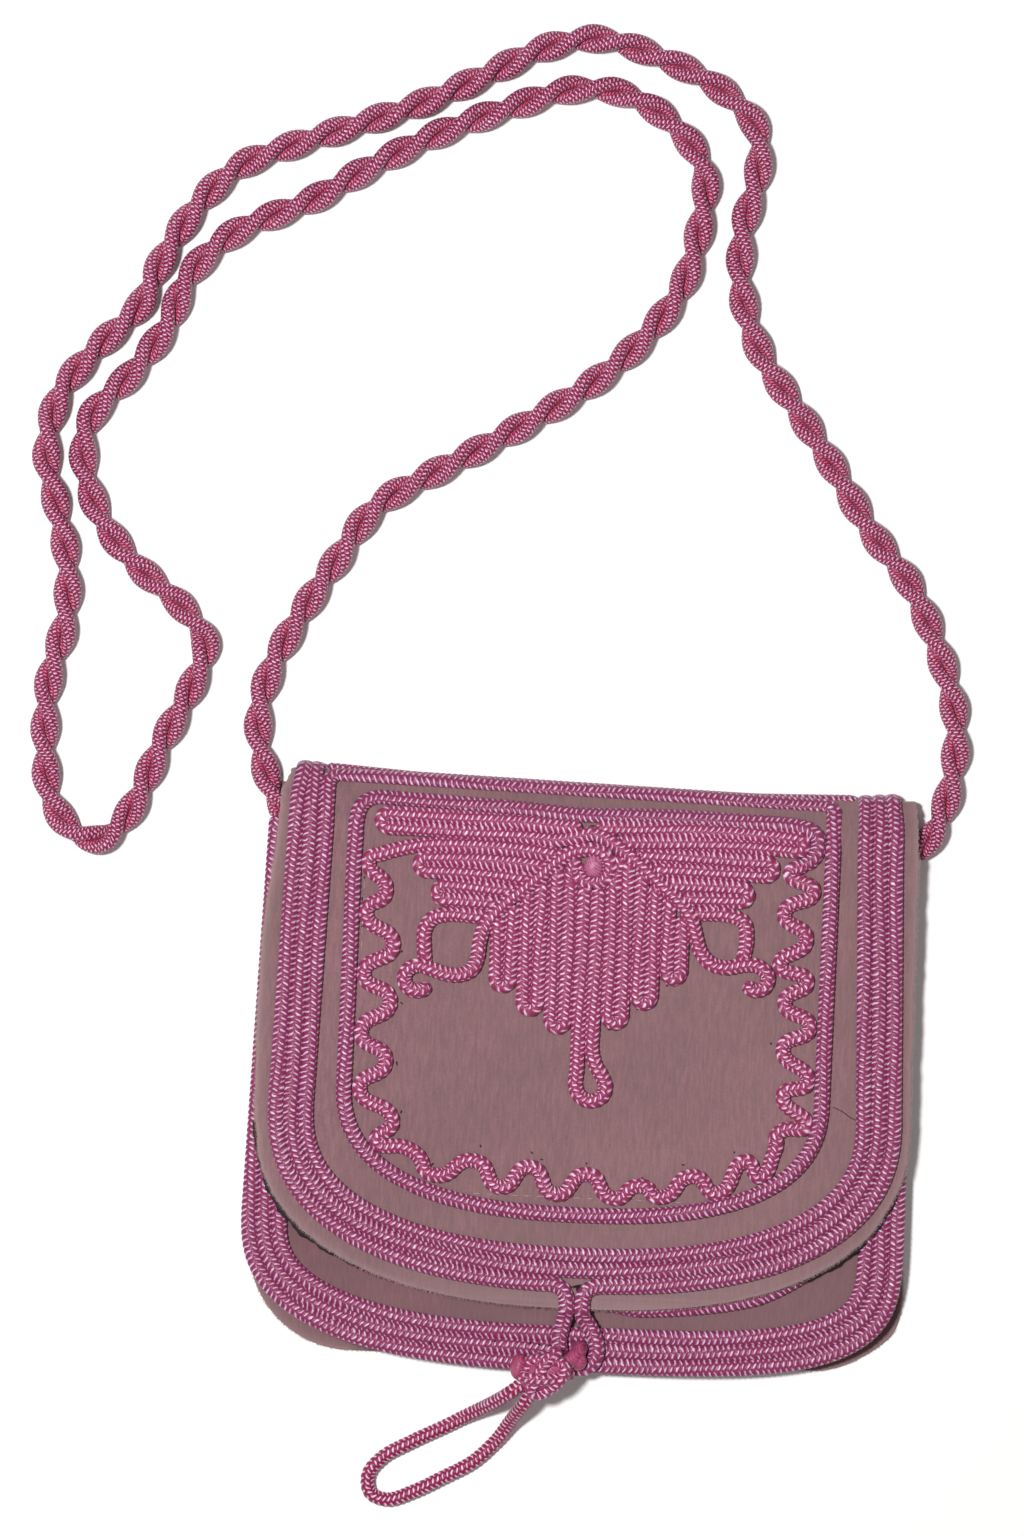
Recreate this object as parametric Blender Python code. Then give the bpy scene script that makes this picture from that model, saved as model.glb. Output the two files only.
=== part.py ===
"""Embroidered suede purse, lying on its back with its flap closed.

One sheet of suede makes the back, the fold over the top and the flap. A front
panel and a narrow gusset make the pocket. Braided cord is sewn down on the
front panel and the flap: three rows along the edge, a frame, a wave inside the
frame, and a motif of rows, a pointed arch and a comb of loops. A loop of the
flap's edge cord goes round the stem of a knotted ball. The strap is a rope of
two braided cords.

+X is the purse's right, +Y points to the fold and the strap, +Z is up.
"""
import math

import bmesh
import bpy
import numpy as np
from mathutils import Vector

MM = 0.001  # sizes and places below are in millimetres

# Suede and gaps
SUEDE = 1.2
GAP = 0.3
POCKET = 4.8
GUSSET_INSET = 3.2

# Sewn cord: its width and height, and the pitch of rows that lie side by side
CORD_WIDTH = 3.7
CORD_HEIGHT = 2.6
ROW_GAP = 0.35
MOTIF_WIDTH = 3.2

# How a section takes a turn: the most it widens at a corner, the share of the
# room inside a turn that it fills, and how far a plan curve may be simplified
MITRE_LIMIT = 1.15
TURN_ROOM = 0.8
PLAN_TOLERANCE = 0.15
BEND_STEPS = 4

# Fold over the top: outer radius, steepness of the flap beside it, and the
# radius that leads from there into the flat of the flap
FOLD_RADIUS = 4.0
FOLD_Y = 72.9
FOLD_SLOPE = 28.0
SLOPE_EASE = 12.0
FOLD_MARGIN = 1.6
FOLD_CORD_END = -24.0
TOP_CORD_ANGLES = (49.0, 5.0)

# Flap: its middle, its width at the widest, and how far in its sides lie at the top
FLAP_MIDDLE_X = -1.95
FLAP_WIDTH = 176.5
FLAP_TOP_IN = (3.2, 1.7)


def across(inside):
    """The x of a left and a right side that lie inside the flap's widest sides."""
    left, right = FLAP_MIDDLE_X - FLAP_WIDTH / 2, FLAP_MIDDLE_X + FLAP_WIDTH / 2
    return (left + inside[0], right - inside[1])


# Flap outline: half of it is a straight side, the other a rounded end
FLAP_SIDE_X = across((0.0, 0.0))
FLAP_TOP_X = across(FLAP_TOP_IN)
FLAP_END_Y = -64.6
FLAP_ROUND_Y = -12.0
FLAP_ROUNDNESS = (2.45, 2.45)

# Outer row of the flap's edge cords
EDGE_TOP_IN = (7.9, 6.6)
EDGE_SIDE_IN = (5.9, 3.7)
EDGE_TOP_X = across(EDGE_TOP_IN)
EDGE_SIDE_X = across(EDGE_SIDE_IN)
EDGE_END_Y = -58.1
EDGE_ROUNDNESS = (2.45, 2.45)

# Frame cord of the flap
FRAME_TOP_IN = (24.0, 23.4)
FRAME_SIDE_IN = (24.0, 23.5)
FRAME_TOP_X = across(FRAME_TOP_IN)
FRAME_SIDE_X = across(FRAME_SIDE_IN)
FRAME_END_Y = -39.2
FRAME_ROUND_Y = -6.0
FRAME_ROUNDNESS = (2.5, 2.5)

# Back and front panels: the back's lower corners and the front's rounded end
# differ from left to right
BACK_SIDE_IN = (-0.1, -0.9)
BACK_SIDE_X = across(BACK_SIDE_IN)
BACK_END_Y = -79.5
BACK_CORNERS = (28.0, 24.0)
MOUTH_Y = (65.0, 60.0)
FRONT_TOP_IN = (1.7, 1.7)
FRONT_SIDE_IN = (0.3, 1.3)
FRONT_TOP_X = across(FRONT_TOP_IN)
FRONT_SIDE_X = across(FRONT_SIDE_IN)
FRONT_END_Y = -80.0
FRONT_ROUND_Y = -42.0
FRONT_ROUNDNESS = (2.7, 3.7)
FRONT_EDGE_OVER = 1.1
FRONT_FRAME_IN = (15.2, 15.3)
FRONT_FRAME_X = across(FRONT_FRAME_IN)
FRONT_FRAME_END_Y = -62.3
FRONT_FRAME_ROUND_Y = -35.0

# Closure: ball knot on a stem, the loop round the stem, and the pull loop
BALL_CENTRE = (-9.8, -83.0)
BALL_RISE = 6.1
BALL_HALF = (8.6, 5.7, 4.2)
BALL_TURN = 30.0
STEM_RADIUS = 1.8
STEM_FOOT = (0.7, -75.2)
STEM_RISE = 2.2
NECK_SINK = 1.2
NECK_SHARE = 0.84
KNOT_SIDES = 10
PULL_CORD = 3.8

# Strap: two braided cords of this width, twisted
STRAP_CORD = 4.0
STRAP_END_SHARE = 0.5
STRAP_TAPER = 0.25
FREE_CORD_STEP = 1.2
STRAP_STEP = 2.0

# From the middle of the motif, where the routes are measured, to the middle of
# the purse's outline, where the part has its origin. The outline reaches from the
# front's outer row on the left to the back's side on the right.
MIDDLE_Y = -4.81
MIDDLE = ((FRONT_SIDE_X[0] - CORD_WIDTH / 2 + BACK_SIDE_X[1]) / 2, MIDDLE_Y)

# Heights of the layers above the table
BACK_TOP = SUEDE
FRONT_BOTTOM = BACK_TOP + POCKET
FRONT_TOP = FRONT_BOTTOM + SUEDE
FRONT_CORD_TOP = FRONT_TOP + GAP + CORD_HEIGHT
FLAP_BOTTOM = FRONT_CORD_TOP + GAP
FLAP_TOP = FLAP_BOTTOM + SUEDE
FLAP_CORD_BASE = FLAP_TOP + GAP

CORD_PITCH = CORD_WIDTH + ROW_GAP
SLOPE = math.radians(FOLD_SLOPE)
FOLD_TANGENT = 90.0 - FOLD_SLOPE

SUEDE_COLOUR = (0.305, 0.171, 0.188)
CORD_COLOUR = (0.515, 0.102, 0.262)
SATIN_COLOUR = (0.45, 0.05, 0.13)


# Routes of the motif's cords, points chosen by hand on the flat flap

ARCH_START = [(-11.2, 65.2), (-20.0, 65.9), (-34.0, 66.4), (-48.0, 66.7), (-57.3, 66.7)]
ARCH_ROUTE = [
    (-57.3, 63.0), (-48.0, 63.0), (-34.0, 62.7), (-20.0, 62.2), (-12.0, 61.6), (-6.6, 62.6), (-2.2, 63.7),
    (2.0, 62.4), (6.0, 60.0), (10.0, 57.0), (14.0, 53.5), (18.0, 50.1), (22.0, 46.6), (25.2, 42.5),
    (26.7, 38.0), (28.2, 33.4), (31.2, 30.2), (35.5, 29.3), (40.0, 30.2), (43.9, 30.1), (46.8, 27.4),
    (45.8, 24.3), (42.6, 23.6), (40.8, 25.7),
]
RING_ROUTE = [
    (-44.6, 21.6), (-46.0, 19.8), (-48.8, 19.4), (-51.0, 21.3), (-50.8, 24.3), (-47.8, 26.2), (-44.2, 25.4),
    (-40.5, 24.3), (-36.5, 24.1), (-33.2, 25.7), (-31.8, 29.0), (-31.4, 33.0), (-30.4, 37.0), (-27.9, 40.8),
    (-24.6, 44.2), (-20.6, 47.6), (-16.6, 51.0), (-12.8, 54.6), (-9.2, 57.5), (-5.2, 59.2), (-1.5, 59.4),
    (1.8, 57.9), (2.9, 54.9), (1.8, 51.9), (-1.2, 50.5), (-4.3, 51.4), (-5.8, 53.9),
]
RING_BALL = (-1.5, 54.9)
RING_BALL_RADIUS = 2.2
RING_BALL_SIDES = 12
LEFT_SQUARE_ROUTE = [
    (-33.2, 40.2), (-40.0, 40.3), (-44.4, 39.0), (-46.3, 35.8), (-46.3, 31.5), (-45.9, 28.5),
]
RIGHT_SQUARE_ROUTE = [(28.4, 43.4), (35.6, 43.4), (39.7, 41.6), (40.6, 37.0), (40.1, 32.8)]

# Pairs of rows joined by a turn at their outer end: upper row, then lower row
LEFT_MIDDLE_ROWS = ([(-17.2, 54.6), (-24.0, 55.0), (-34.0, 55.3), (-46.6, 55.4)],
                    [(-46.6, 51.7), (-34.0, 51.6), (-28.0, 51.4), (-21.8, 51.0)])
LEFT_LOWER_ROWS = ([(-26.2, 47.5), (-32.0, 47.8), (-41.4, 48.0)],
                   [(-41.4, 44.3), (-36.0, 44.2), (-30.2, 43.9)])
RIGHT_UPPER_ROWS = ([(4.8, 65.6), (12.0, 65.9), (25.0, 66.1), (45.0, 65.6), (53.0, 65.2)],
                    [(53.0, 61.5), (45.0, 61.9), (25.0, 62.4), (11.0, 62.2)])
RIGHT_MIDDLE_ROWS = ([(13.4, 58.4), (25.0, 58.6), (45.0, 58.1)],
                     [(45.0, 54.4), (25.0, 54.9), (17.6, 54.7)])
RIGHT_LOWER_ROWS = ([(22.2, 51.2), (30.0, 51.1), (38.6, 50.8)],
                    [(38.6, 47.2), (30.0, 47.4), (26.4, 47.4)])
FRAME_CORNER = [(-66.1, 60.0), (-66.0, 64.6), (-64.9, 68.2), (-61.8, 70.3), (-56.0, 70.7), (-34.0, 70.3),
                (-20.0, 69.8), (-8.0, 69.0), (0.0, 69.1), (8.0, 69.6), (25.0, 70.0), (45.0, 69.5), (51.5, 69.1)]
FRAME_TURN = [(56.0, 68.1), (58.5, 65.6), (58.8, 62.4), (57.6, 59.8)]
FRAME_CORNER_DROP = 8.0
TOP_BEND_RADIUS = 2.5
WAVE_START = [(-13.4, 57.9), (-20.0, 58.5), (-34.0, 59.0), (-46.0, 58.9), (-52.5, 57.8), (-57.6, 56.3)]
WAVE_TURNS = [
    (-62.2, 53.0), (-57.2, 46.0), (-62.2, 39.2), (-54.6, 31.4), (-62.2, 23.4), (-54.7, 16.0), (-62.2, 7.6),
    (-55.2, 0.0), (-61.9, -8.0), (-52.9, -15.2), (-56.6, -21.9), (-47.2, -23.8), (-40.4, -30.2), (-30.2, -25.8),
    (-22.9, -32.6), (-15.0, -26.8), (-7.9, -33.9), (0.3, -28.1), (7.4, -34.2), (14.5, -30.6), (21.2, -33.3),
    (28.6, -27.4), (36.2, -31.5), (42.3, -22.8), (47.2, -26.6), (50.7, -19.6), (51.9, -14.4), (58.9, -12.0),
    (52.3, -4.9), (58.9, 0.0), (51.7, 7.8), (58.7, 14.2), (51.6, 20.3), (57.4, 26.6), (49.8, 30.8),
    (56.7, 37.7), (50.4, 44.6), (58.1, 50.5), (51.6, 55.0), (56.2, 58.3),
]
WAVE_LEAVES_TO = (58.0, 60.0)
WAVE_ROUND = 1.9

# Comb of loops: first run, pitch, the middles of the lower and upper turns
COMB_X = -26.6
COMB_PITCH = 3.83
COMB_ENDS_Y = (36.4, 36.4)
COMB_LOWER_Y = (23.6, 17.6, 13.1, None, 14.9, 20.6, 27.6)
COMB_UPPER_Y = (40.0, 46.4, 45.5, 45.3, 49.4, 43.0)
DROP_ROUTE = [(0.0, 0.0), (-0.15, -4.4), (1.3, -7.3), (4.2, -8.3), (7.1, -6.9), (7.9, -4.1), (6.6, -1.1), (4.9, 1.6)]
DROP_TOP_Y = 4.5
DROP_JOINS_Y = 12.0

# Ends of the flap's outer edge row, where it turns down to the closure loop
LOOP_LEFT_TURN = [(-7.6, -58.1), (-4.7, -59.4), (-3.6, -61.8), (-3.45, -64.2)]
LOOP_RIGHT_TURN = [(4.7, -58.2), (1.8, -59.5), (0.8, -61.8), (0.75, -64.2)]
LOOP_ROUTE = [
    (-3.45, -64.9, 1.0), (-3.6, -66.5, 0.5), (-4.3, -69.5, 0.03), (-4.9, -73.0, 0.0), (-4.3, -77.2, 0.0),
    (-2.0, -79.9, 0.0), (1.4, -80.7, 0.0), (4.3, -79.0, 0.0), (5.3, -75.6, 0.0), (4.5, -72.0, 0.0),
    (2.6, -68.6, 0.07), (1.1, -66.5, 0.5), (0.75, -64.9, 1.0),
]

# Free cords: plan of the route, and the height of the cord's middle
PULL_ROUTE = [
    (-17.2, -87.4, 14.3), (-21.0, -90.4, 10.5), (-25.6, -93.6, 5.2), (-30.0, -96.3, 2.4), (-34.2, -98.7, 1.95),
    (-43.7, -103.6, 1.95), (-51.4, -108.2, 1.95), (-55.0, -113.0, 1.95), (-54.2, -118.0, 1.95),
    (-49.6, -119.6, 1.95), (-43.0, -117.3, 1.95), (-34.9, -113.0, 1.95), (-26.7, -108.2, 1.95),
    (-20.6, -102.0, 2.4), (-17.2, -96.6, 5.4), (-15.0, -92.9, 9.9), (-13.3, -90.1, 13.0),
]
STRAP_ROUTE = [
    (-91.9, 78.0), (-94.2, 90.6), (-91.5, 104.2), (-84.1, 119.5), (-75.0, 134.7), (-64.9, 149.7),
    (-51.5, 158.5), (-37.6, 166.6), (-22.8, 175.7), (-7.3, 186.3), (5.9, 199.1), (15.2, 213.0),
    (19.5, 230.1), (20.0, 244.5), (11.9, 256.0), (-2.0, 264.4), (-16.1, 265.3), (-33.8, 259.4),
    (-53.0, 251.4), (-70.5, 241.8), (-86.8, 231.7), (-105.3, 223.1), (-114.9, 214.8), (-120.2, 206.7),
    (-122.8, 198.1), (-132.2, 183.7), (-143.1, 170.8), (-145.0, 160.9), (-140.1, 144.6), (-130.4, 132.0),
    (-116.0, 119.8), (-109.4, 110.6), (-112.3, 99.8), (-120.3, 82.4), (-127.4, 65.0), (-134.4, 56.5),
    (-141.4, 57.0), (-149.1, 65.7), (-151.7, 80.9), (-151.4, 98.6), (-147.6, 116.2), (-148.0, 131.3),
    (-151.6, 146.5), (-154.9, 160.7), (-151.8, 176.7), (-142.2, 189.6), (-131.6, 201.0), (-126.6, 212.5),
    (-117.9, 227.9), (-106.8, 239.8), (-91.9, 246.7), (-75.8, 252.6), (-57.6, 259.6), (-41.9, 267.3),
    (-24.4, 276.3), (-10.2, 279.3), (7.4, 274.6), (22.5, 267.6), (33.4, 257.1), (34.6, 245.4),
    (31.2, 229.1), (31.5, 212.8), (37.7, 195.4), (48.1, 180.9), (59.6, 164.3), (69.2, 149.3),
    (80.8, 135.0), (88.2, 120.1), (94.4, 101.2), (95.0, 86.5),
]

# The strap's sewn ends: how far inside the back's sides, and y
STRAP_START = [(2.2, 65.6), (-1.0, 71.5)]
STRAP_FINISH = [(-3.9, 69.8), (1.7, 61.4)]


def clear_scene():
    """Remove whatever the file opened with."""
    for thing in list(bpy.data.objects):
        bpy.data.objects.remove(thing, do_unlink=True)


def material(name, colour, roughness):
    """A Principled material with a plain colour."""
    made = bpy.data.materials.new(name)
    made.use_nodes = True
    shader = made.node_tree.nodes["Principled BSDF"]
    shader.inputs["Base Color"].default_value = (*colour, 1.0)
    shader.inputs["Roughness"].default_value = roughness
    shader.inputs["Metallic"].default_value = 0.0
    made.diffuse_color = (*colour, 1.0)
    return made


def to_frame(point):
    """A measured point in millimetres as a point of the part in metres."""
    x, y, z = point
    return Vector(((x - MIDDLE[0]) * MM, (y - MIDDLE[1]) * MM, z * MM))


def smooth(points, steps=8):
    """A centripetal Catmull-Rom curve through the points, in plan or in space."""
    p = np.array(points, dtype=float)
    ends = np.vstack([2 * p[0] - p[1], p, 2 * p[-1] - p[-2]])
    curve = []
    for p0, p1, p2, p3 in zip(ends, ends[1:], ends[2:], ends[3:]):
        k0 = 0.0
        k1 = k0 + math.sqrt(np.linalg.norm(p1 - p0))
        k2 = k1 + math.sqrt(np.linalg.norm(p2 - p1))
        k3 = k2 + math.sqrt(np.linalg.norm(p3 - p2))
        for k in np.linspace(k1, k2, steps, endpoint=False):
            a1 = (k1 - k) / (k1 - k0) * p0 + (k - k0) / (k1 - k0) * p1
            a2 = (k2 - k) / (k2 - k1) * p1 + (k - k1) / (k2 - k1) * p2
            a3 = (k3 - k) / (k3 - k2) * p2 + (k - k2) / (k3 - k2) * p3
            b1 = (k2 - k) / (k2 - k0) * a1 + (k - k0) / (k2 - k0) * a2
            b2 = (k3 - k) / (k3 - k1) * a2 + (k - k1) / (k3 - k1) * a3
            curve.append((k2 - k) / (k2 - k1) * b1 + (k - k1) / (k2 - k1) * b2)
    curve.append(p[-1])
    return np.array(curve)


def thin(curve, tolerance=PLAN_TOLERANCE):
    """Leave out the points of a curve that lie within the tolerance of a chord."""
    if len(curve) < 3:
        return curve
    chord = curve[-1] - curve[0]
    length = np.linalg.norm(chord)
    away = curve[1:-1] - curve[0]
    if length > 1e-9:
        along = np.clip(away @ chord / length ** 2, 0.0, 1.0)
        away = away - along[:, None] * chord
    distance = np.linalg.norm(away, axis=1)
    worst = int(np.argmax(distance))
    if distance[worst] <= tolerance:
        return np.array([curve[0], curve[-1]])
    first = thin(curve[:worst + 2], tolerance)
    last = thin(curve[worst + 1:], tolerance)
    return np.vstack([first[:-1], last])


def round_end(side_x, round_y, end_y, powers, steps=40):
    """The rounded lower end between two sides: half of a superellipse, left to right.

    Its left and its right corner can have powers of their own."""
    middle = sum(side_x) / 2
    half = (side_x[1] - side_x[0]) / 2
    angles = np.linspace(math.pi, 2 * math.pi, steps)
    c, s = np.cos(angles), np.sin(angles)
    left, right = powers
    power = np.where(c < 0, left, right)
    x = middle + half * np.sign(c) * np.abs(c) ** (2 / power)
    y = round_y + (round_y - end_y) * np.sign(s) * np.abs(s) ** (2 / power)
    return np.column_stack([x, y])


def u_line(top_y, top_x, side_x, round_y, end_y, powers):
    """A line down the left side, round the lower end and up the right side."""
    end = round_end(side_x, round_y, end_y, powers)
    return np.vstack([[(top_x[0], top_y[0])], end, [(top_x[1], top_y[1])]])


def side_normals(curve):
    """Unit vectors to the left of a plan curve, at its points."""
    along = np.gradient(curve, axis=0)
    along /= np.linalg.norm(along, axis=1)[:, None]
    return np.column_stack([-along[:, 1], along[:, 0]])


def beside(curve, distance):
    """A plan curve that runs beside another, to its left."""
    return curve + distance * side_normals(curve)


def turned(centre, radius, start, end, steps=7):
    """Points of an arc in plan, angles in degrees."""
    angles = np.radians(np.linspace(start, end, steps))
    return np.column_stack([centre[0] + radius * np.cos(angles), centre[1] + radius * np.sin(angles)])


def wave(turns, before, after, steps=6):
    """A wave with rounded turns: each turn is crossed along the line of its neighbours."""
    p = np.array([before, *turns, after], dtype=float)
    curve = []
    for a in range(1, len(p) - 2):
        m0 = WAVE_ROUND * (p[a + 1] - p[a - 1]) / 2
        m1 = WAVE_ROUND * (p[a + 2] - p[a]) / 2
        t = np.linspace(0, 1, steps)[:, None]
        h = (2 * t ** 3 - 3 * t ** 2 + 1) * p[a] + (t ** 3 - 2 * t ** 2 + t) * m0
        h = h + (3 * t ** 2 - 2 * t ** 3) * p[a + 1] + (t ** 3 - t ** 2) * m1
        curve.extend(h[:-1])
    curve.append(p[-2])
    return np.array(curve)


def rows_pair(upper, lower):
    """Two rows joined by a half turn at their outer end."""
    radius = (upper[-1][1] - lower[0][1]) / 2
    centre = (upper[-1][0], upper[-1][1] - radius)
    outwards = 180 if upper[-1][0] > upper[0][0] else -180
    half_turn = turned(centre, radius, 90, 90 - outwards)
    return np.vstack([smooth(upper)[:-1], half_turn, smooth(lower)[1:]])


# Where the flap's outer face lies

TANGENT_Y = FOLD_Y + FOLD_RADIUS * math.cos(math.radians(FOLD_TANGENT))
TANGENT_Z = FOLD_RADIUS + FOLD_RADIUS * math.sin(math.radians(FOLD_TANGENT))
SLOPE_START_Y = TANGENT_Y - (FLAP_TOP - TANGENT_Z) / math.tan(SLOPE)
EASE_REACH = SLOPE_EASE * math.tan(SLOPE / 2)
EASE_START_Y = SLOPE_START_Y - EASE_REACH
EASE_END_Y = SLOPE_START_Y + EASE_REACH * math.cos(SLOPE)
SPLIT_Y = TANGENT_Y - FOLD_MARGIN * math.cos(SLOPE)


def flap_face(x, y, lift):
    """Point and upward direction over the flap's outer face, flat and then sloping to the fold."""
    if y <= EASE_START_Y:
        z, tilt = FLAP_TOP, 0.0
    elif y <= EASE_END_Y:
        tilt = math.asin((y - EASE_START_Y) / SLOPE_EASE)
        z = FLAP_TOP - SLOPE_EASE * (1 - math.cos(tilt))
    else:
        tilt = SLOPE
        z = TANGENT_Z + (TANGENT_Y - y) * math.tan(SLOPE)
    up = Vector((0, math.sin(tilt), math.cos(tilt)))
    return Vector((x, y, z)) + lift * up, up


def fold_face(x, angle, lift):
    """Point and outward direction over the fold, at an angle above the level of its middle."""
    a = math.radians(angle)
    up = Vector((0, math.cos(a), math.sin(a)))
    return Vector((x, FOLD_Y, FOLD_RADIUS)) + (FOLD_RADIUS + lift) * up, up


def front_face(x, y, lift):
    """Point and upward direction over the front panel."""
    return Vector((x, y, FRONT_TOP + lift)), Vector((0, 0, 1))


def with_bends(curve):
    """Add points where a plan curve crosses the bent strip of the flap."""
    levels = np.linspace(EASE_START_Y, EASE_END_Y, BEND_STEPS)
    out = [curve[0]]
    for a, b in zip(curve, curve[1:]):
        crossed = [(v - a[1]) / (b[1] - a[1]) for v in levels if (v - a[1]) * (v - b[1]) < 0]
        out.extend(a + t * (b - a) for t in sorted(crossed) if 0.02 < t < 0.98)
        out.append(b)
    return np.array(out)


def add_object(name, mesh, finish):
    """Link a closed mesh as one named object, faces out, with its material."""
    work = bmesh.new()
    work.from_mesh(mesh)
    bmesh.ops.recalc_face_normals(work, faces=work.faces)
    work.to_mesh(mesh)
    work.free()
    mesh.materials.append(finish)
    made = bpy.data.objects.new(name, mesh)
    bpy.context.collection.objects.link(made)
    return made


def solid(name, rings, finish, smooth_faces=True):
    """A closed solid lofted through rings of points, with a flat cap at each end."""
    count = len(rings[0])
    points = [to_frame(p) for ring in rings for p in ring]
    faces = []
    for r in range(len(rings) - 1):
        for k in range(count):
            a, b = r * count + k, r * count + (k + 1) % count
            faces.append((a, b, b + count, a + count))
    faces.append(tuple(range(count)))
    faces.append(tuple(range((len(rings) - 1) * count, len(rings) * count)))
    mesh = bpy.data.meshes.new(name)
    mesh.from_pydata(points, [], faces)
    if smooth_faces:
        mesh.shade_smooth()
        mesh.set_sharp_from_angle(angle=math.radians(50))
    return add_object(name, mesh, finish)


def cord_section(width, height):
    """The flat-bottomed section of a sewn cord, as (across, up) pairs."""
    w, h = width / 2, height
    return [(-0.72 * w, 0), (0.72 * w, 0), (w, 0.42 * h), (0.56 * w, h), (-0.56 * w, h), (-w, 0.42 * h)]


def sweep(name, places, section, finish):
    """Carry a section along points that each have an upward direction.

    A corner widens the section by one over the cosine of half the turn. On the
    inner side the section is drawn in where the turn leaves it less room.
    """
    points = [p for p, up in places]
    half = max(across for across, rise in section)
    rings = []
    for i, (point, up) in enumerate(places):
        before = points[max(i - 1, 0)]
        after = points[min(i + 1, len(points) - 1)]
        leaving = (after - point).normalized() if after != point else (point - before).normalized()
        coming = (point - before).normalized() if before != point else leaving
        along = (coming + leaving).normalized()
        side = along.cross(up).normalized()
        turn = leaving.dot(side)
        outer = min(1.0 / max(along.dot(leaving), 0.5), MITRE_LIMIT)
        inner = outer
        if abs(turn) > 1e-4:
            room = min((after - point).length, (point - before).length) / 2 * along.dot(leaving) / abs(turn)
            inner = min(outer, TURN_ROOM * room / half)
        rings.append([point + side * (across * (inner if across * turn > 0 else outer)) + up * rise
                      for across, rise in section])
    return solid(name, rings, finish)


def sewn_on_flap(name, curve, width, finish):
    """A cord sewn down on the flap along a plan curve."""
    plan = with_bends(thin(np.array(curve)))
    places = [flap_face(x, y, GAP) for x, y in plan]
    return sweep(name, places, cord_section(width, CORD_HEIGHT), finish)


def sewn_on_front(name, curve, finish):
    """A cord sewn down on the front panel along a plan curve."""
    places = [front_face(x, y, GAP) for x, y in thin(np.array(curve))]
    return sweep(name, places, cord_section(CORD_WIDTH, CORD_HEIGHT), finish)


def sewn_on_fold(name, places, finish):
    """A cord that crosses or follows the fold, from points with upward directions."""
    return sweep(name, places, cord_section(CORD_WIDTH, CORD_HEIGHT), finish)


def plate(name, outline, low, high, finish):
    """A flat sheet cut to a plan outline."""
    mesh = bpy.data.meshes.new(name)
    work = bmesh.new()
    lower = [work.verts.new(to_frame((x, y, low))) for x, y in outline]
    upper = [work.verts.new(to_frame((x, y, high))) for x, y in outline]
    work.faces.new(lower[::-1])
    work.faces.new(upper)
    count = len(outline)
    for k in range(count):
        n = (k + 1) % count
        work.faces.new((lower[k], lower[n], upper[n], upper[k]))
    work.to_mesh(mesh)
    work.free()
    return add_object(name, mesh, finish)


def tube(name, route, diameter, radii, finish, sides):
    """A free cord: a curve with a round bevel and filled caps."""
    data = bpy.data.curves.new(name, "CURVE")
    data.dimensions = "3D"
    data.bevel_depth = diameter / 2 * MM
    data.bevel_resolution = sides
    data.use_fill_caps = True
    line = data.splines.new("POLY")
    line.points.add(len(route) - 1)
    for place, point, share in zip(line.points, route, radii):
        place.co = (*to_frame(point), 1.0)
        place.radius = share
    data.materials.append(finish)
    made = bpy.data.objects.new(name, data)
    bpy.context.collection.objects.link(made)
    return made


def even_points(curve, spacing):
    """Points at an even spacing along a curve in space."""
    steps = np.linalg.norm(np.diff(curve, axis=0), axis=1)
    along = np.concatenate([[0], np.cumsum(steps)])
    count = max(2, int(round(along[-1] / spacing)) + 1)
    wanted = np.linspace(0, along[-1], count)
    return np.column_stack([np.interp(wanted, along, curve[:, k]) for k in range(curve.shape[1])])


def make_back_panel(suede):
    """The back: a sheet with rounded lower corners that reaches up to the fold."""
    left, right = BACK_SIDE_X
    r, q = BACK_CORNERS
    lower_left = turned((left + r, BACK_END_Y + r), r, 180, 270)
    lower_right = turned((right - q, BACK_END_Y + q), q, 270, 360)
    top_y = FOLD_Y - GAP / 2
    outline = [(FLAP_TOP_X[0], top_y), *lower_left, *lower_right, (FLAP_TOP_X[1], top_y)]
    plate("back_panel", outline, 0.0, BACK_TOP, suede)


def front_edge(inset):
    """The outer row's line on the front panel, moved inwards."""
    line = u_line(MOUTH_Y, FRONT_TOP_X, FRONT_SIDE_X, FRONT_ROUND_Y, FRONT_END_Y, FRONT_ROUNDNESS)
    return beside(line, inset)


def make_front_panel(suede):
    """The front of the pocket, open along its upper edge."""
    plate("front_panel", thin(front_edge(-FRONT_EDGE_OVER)), FRONT_BOTTOM, FRONT_TOP, suede)


def make_gusset(suede):
    """The strip between back and front, along the sides and the lower end."""
    line = thin(front_edge(GUSSET_INSET))
    half, height = SUEDE / 2, POCKET - 2 * GAP
    section = [(-half, 0), (half, 0), (half, height), (-half, height)]
    places = [(Vector((x, y, BACK_TOP + GAP)), Vector((0, 0, 1))) for x, y in line]
    sweep("gusset", places, section, suede)


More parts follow.
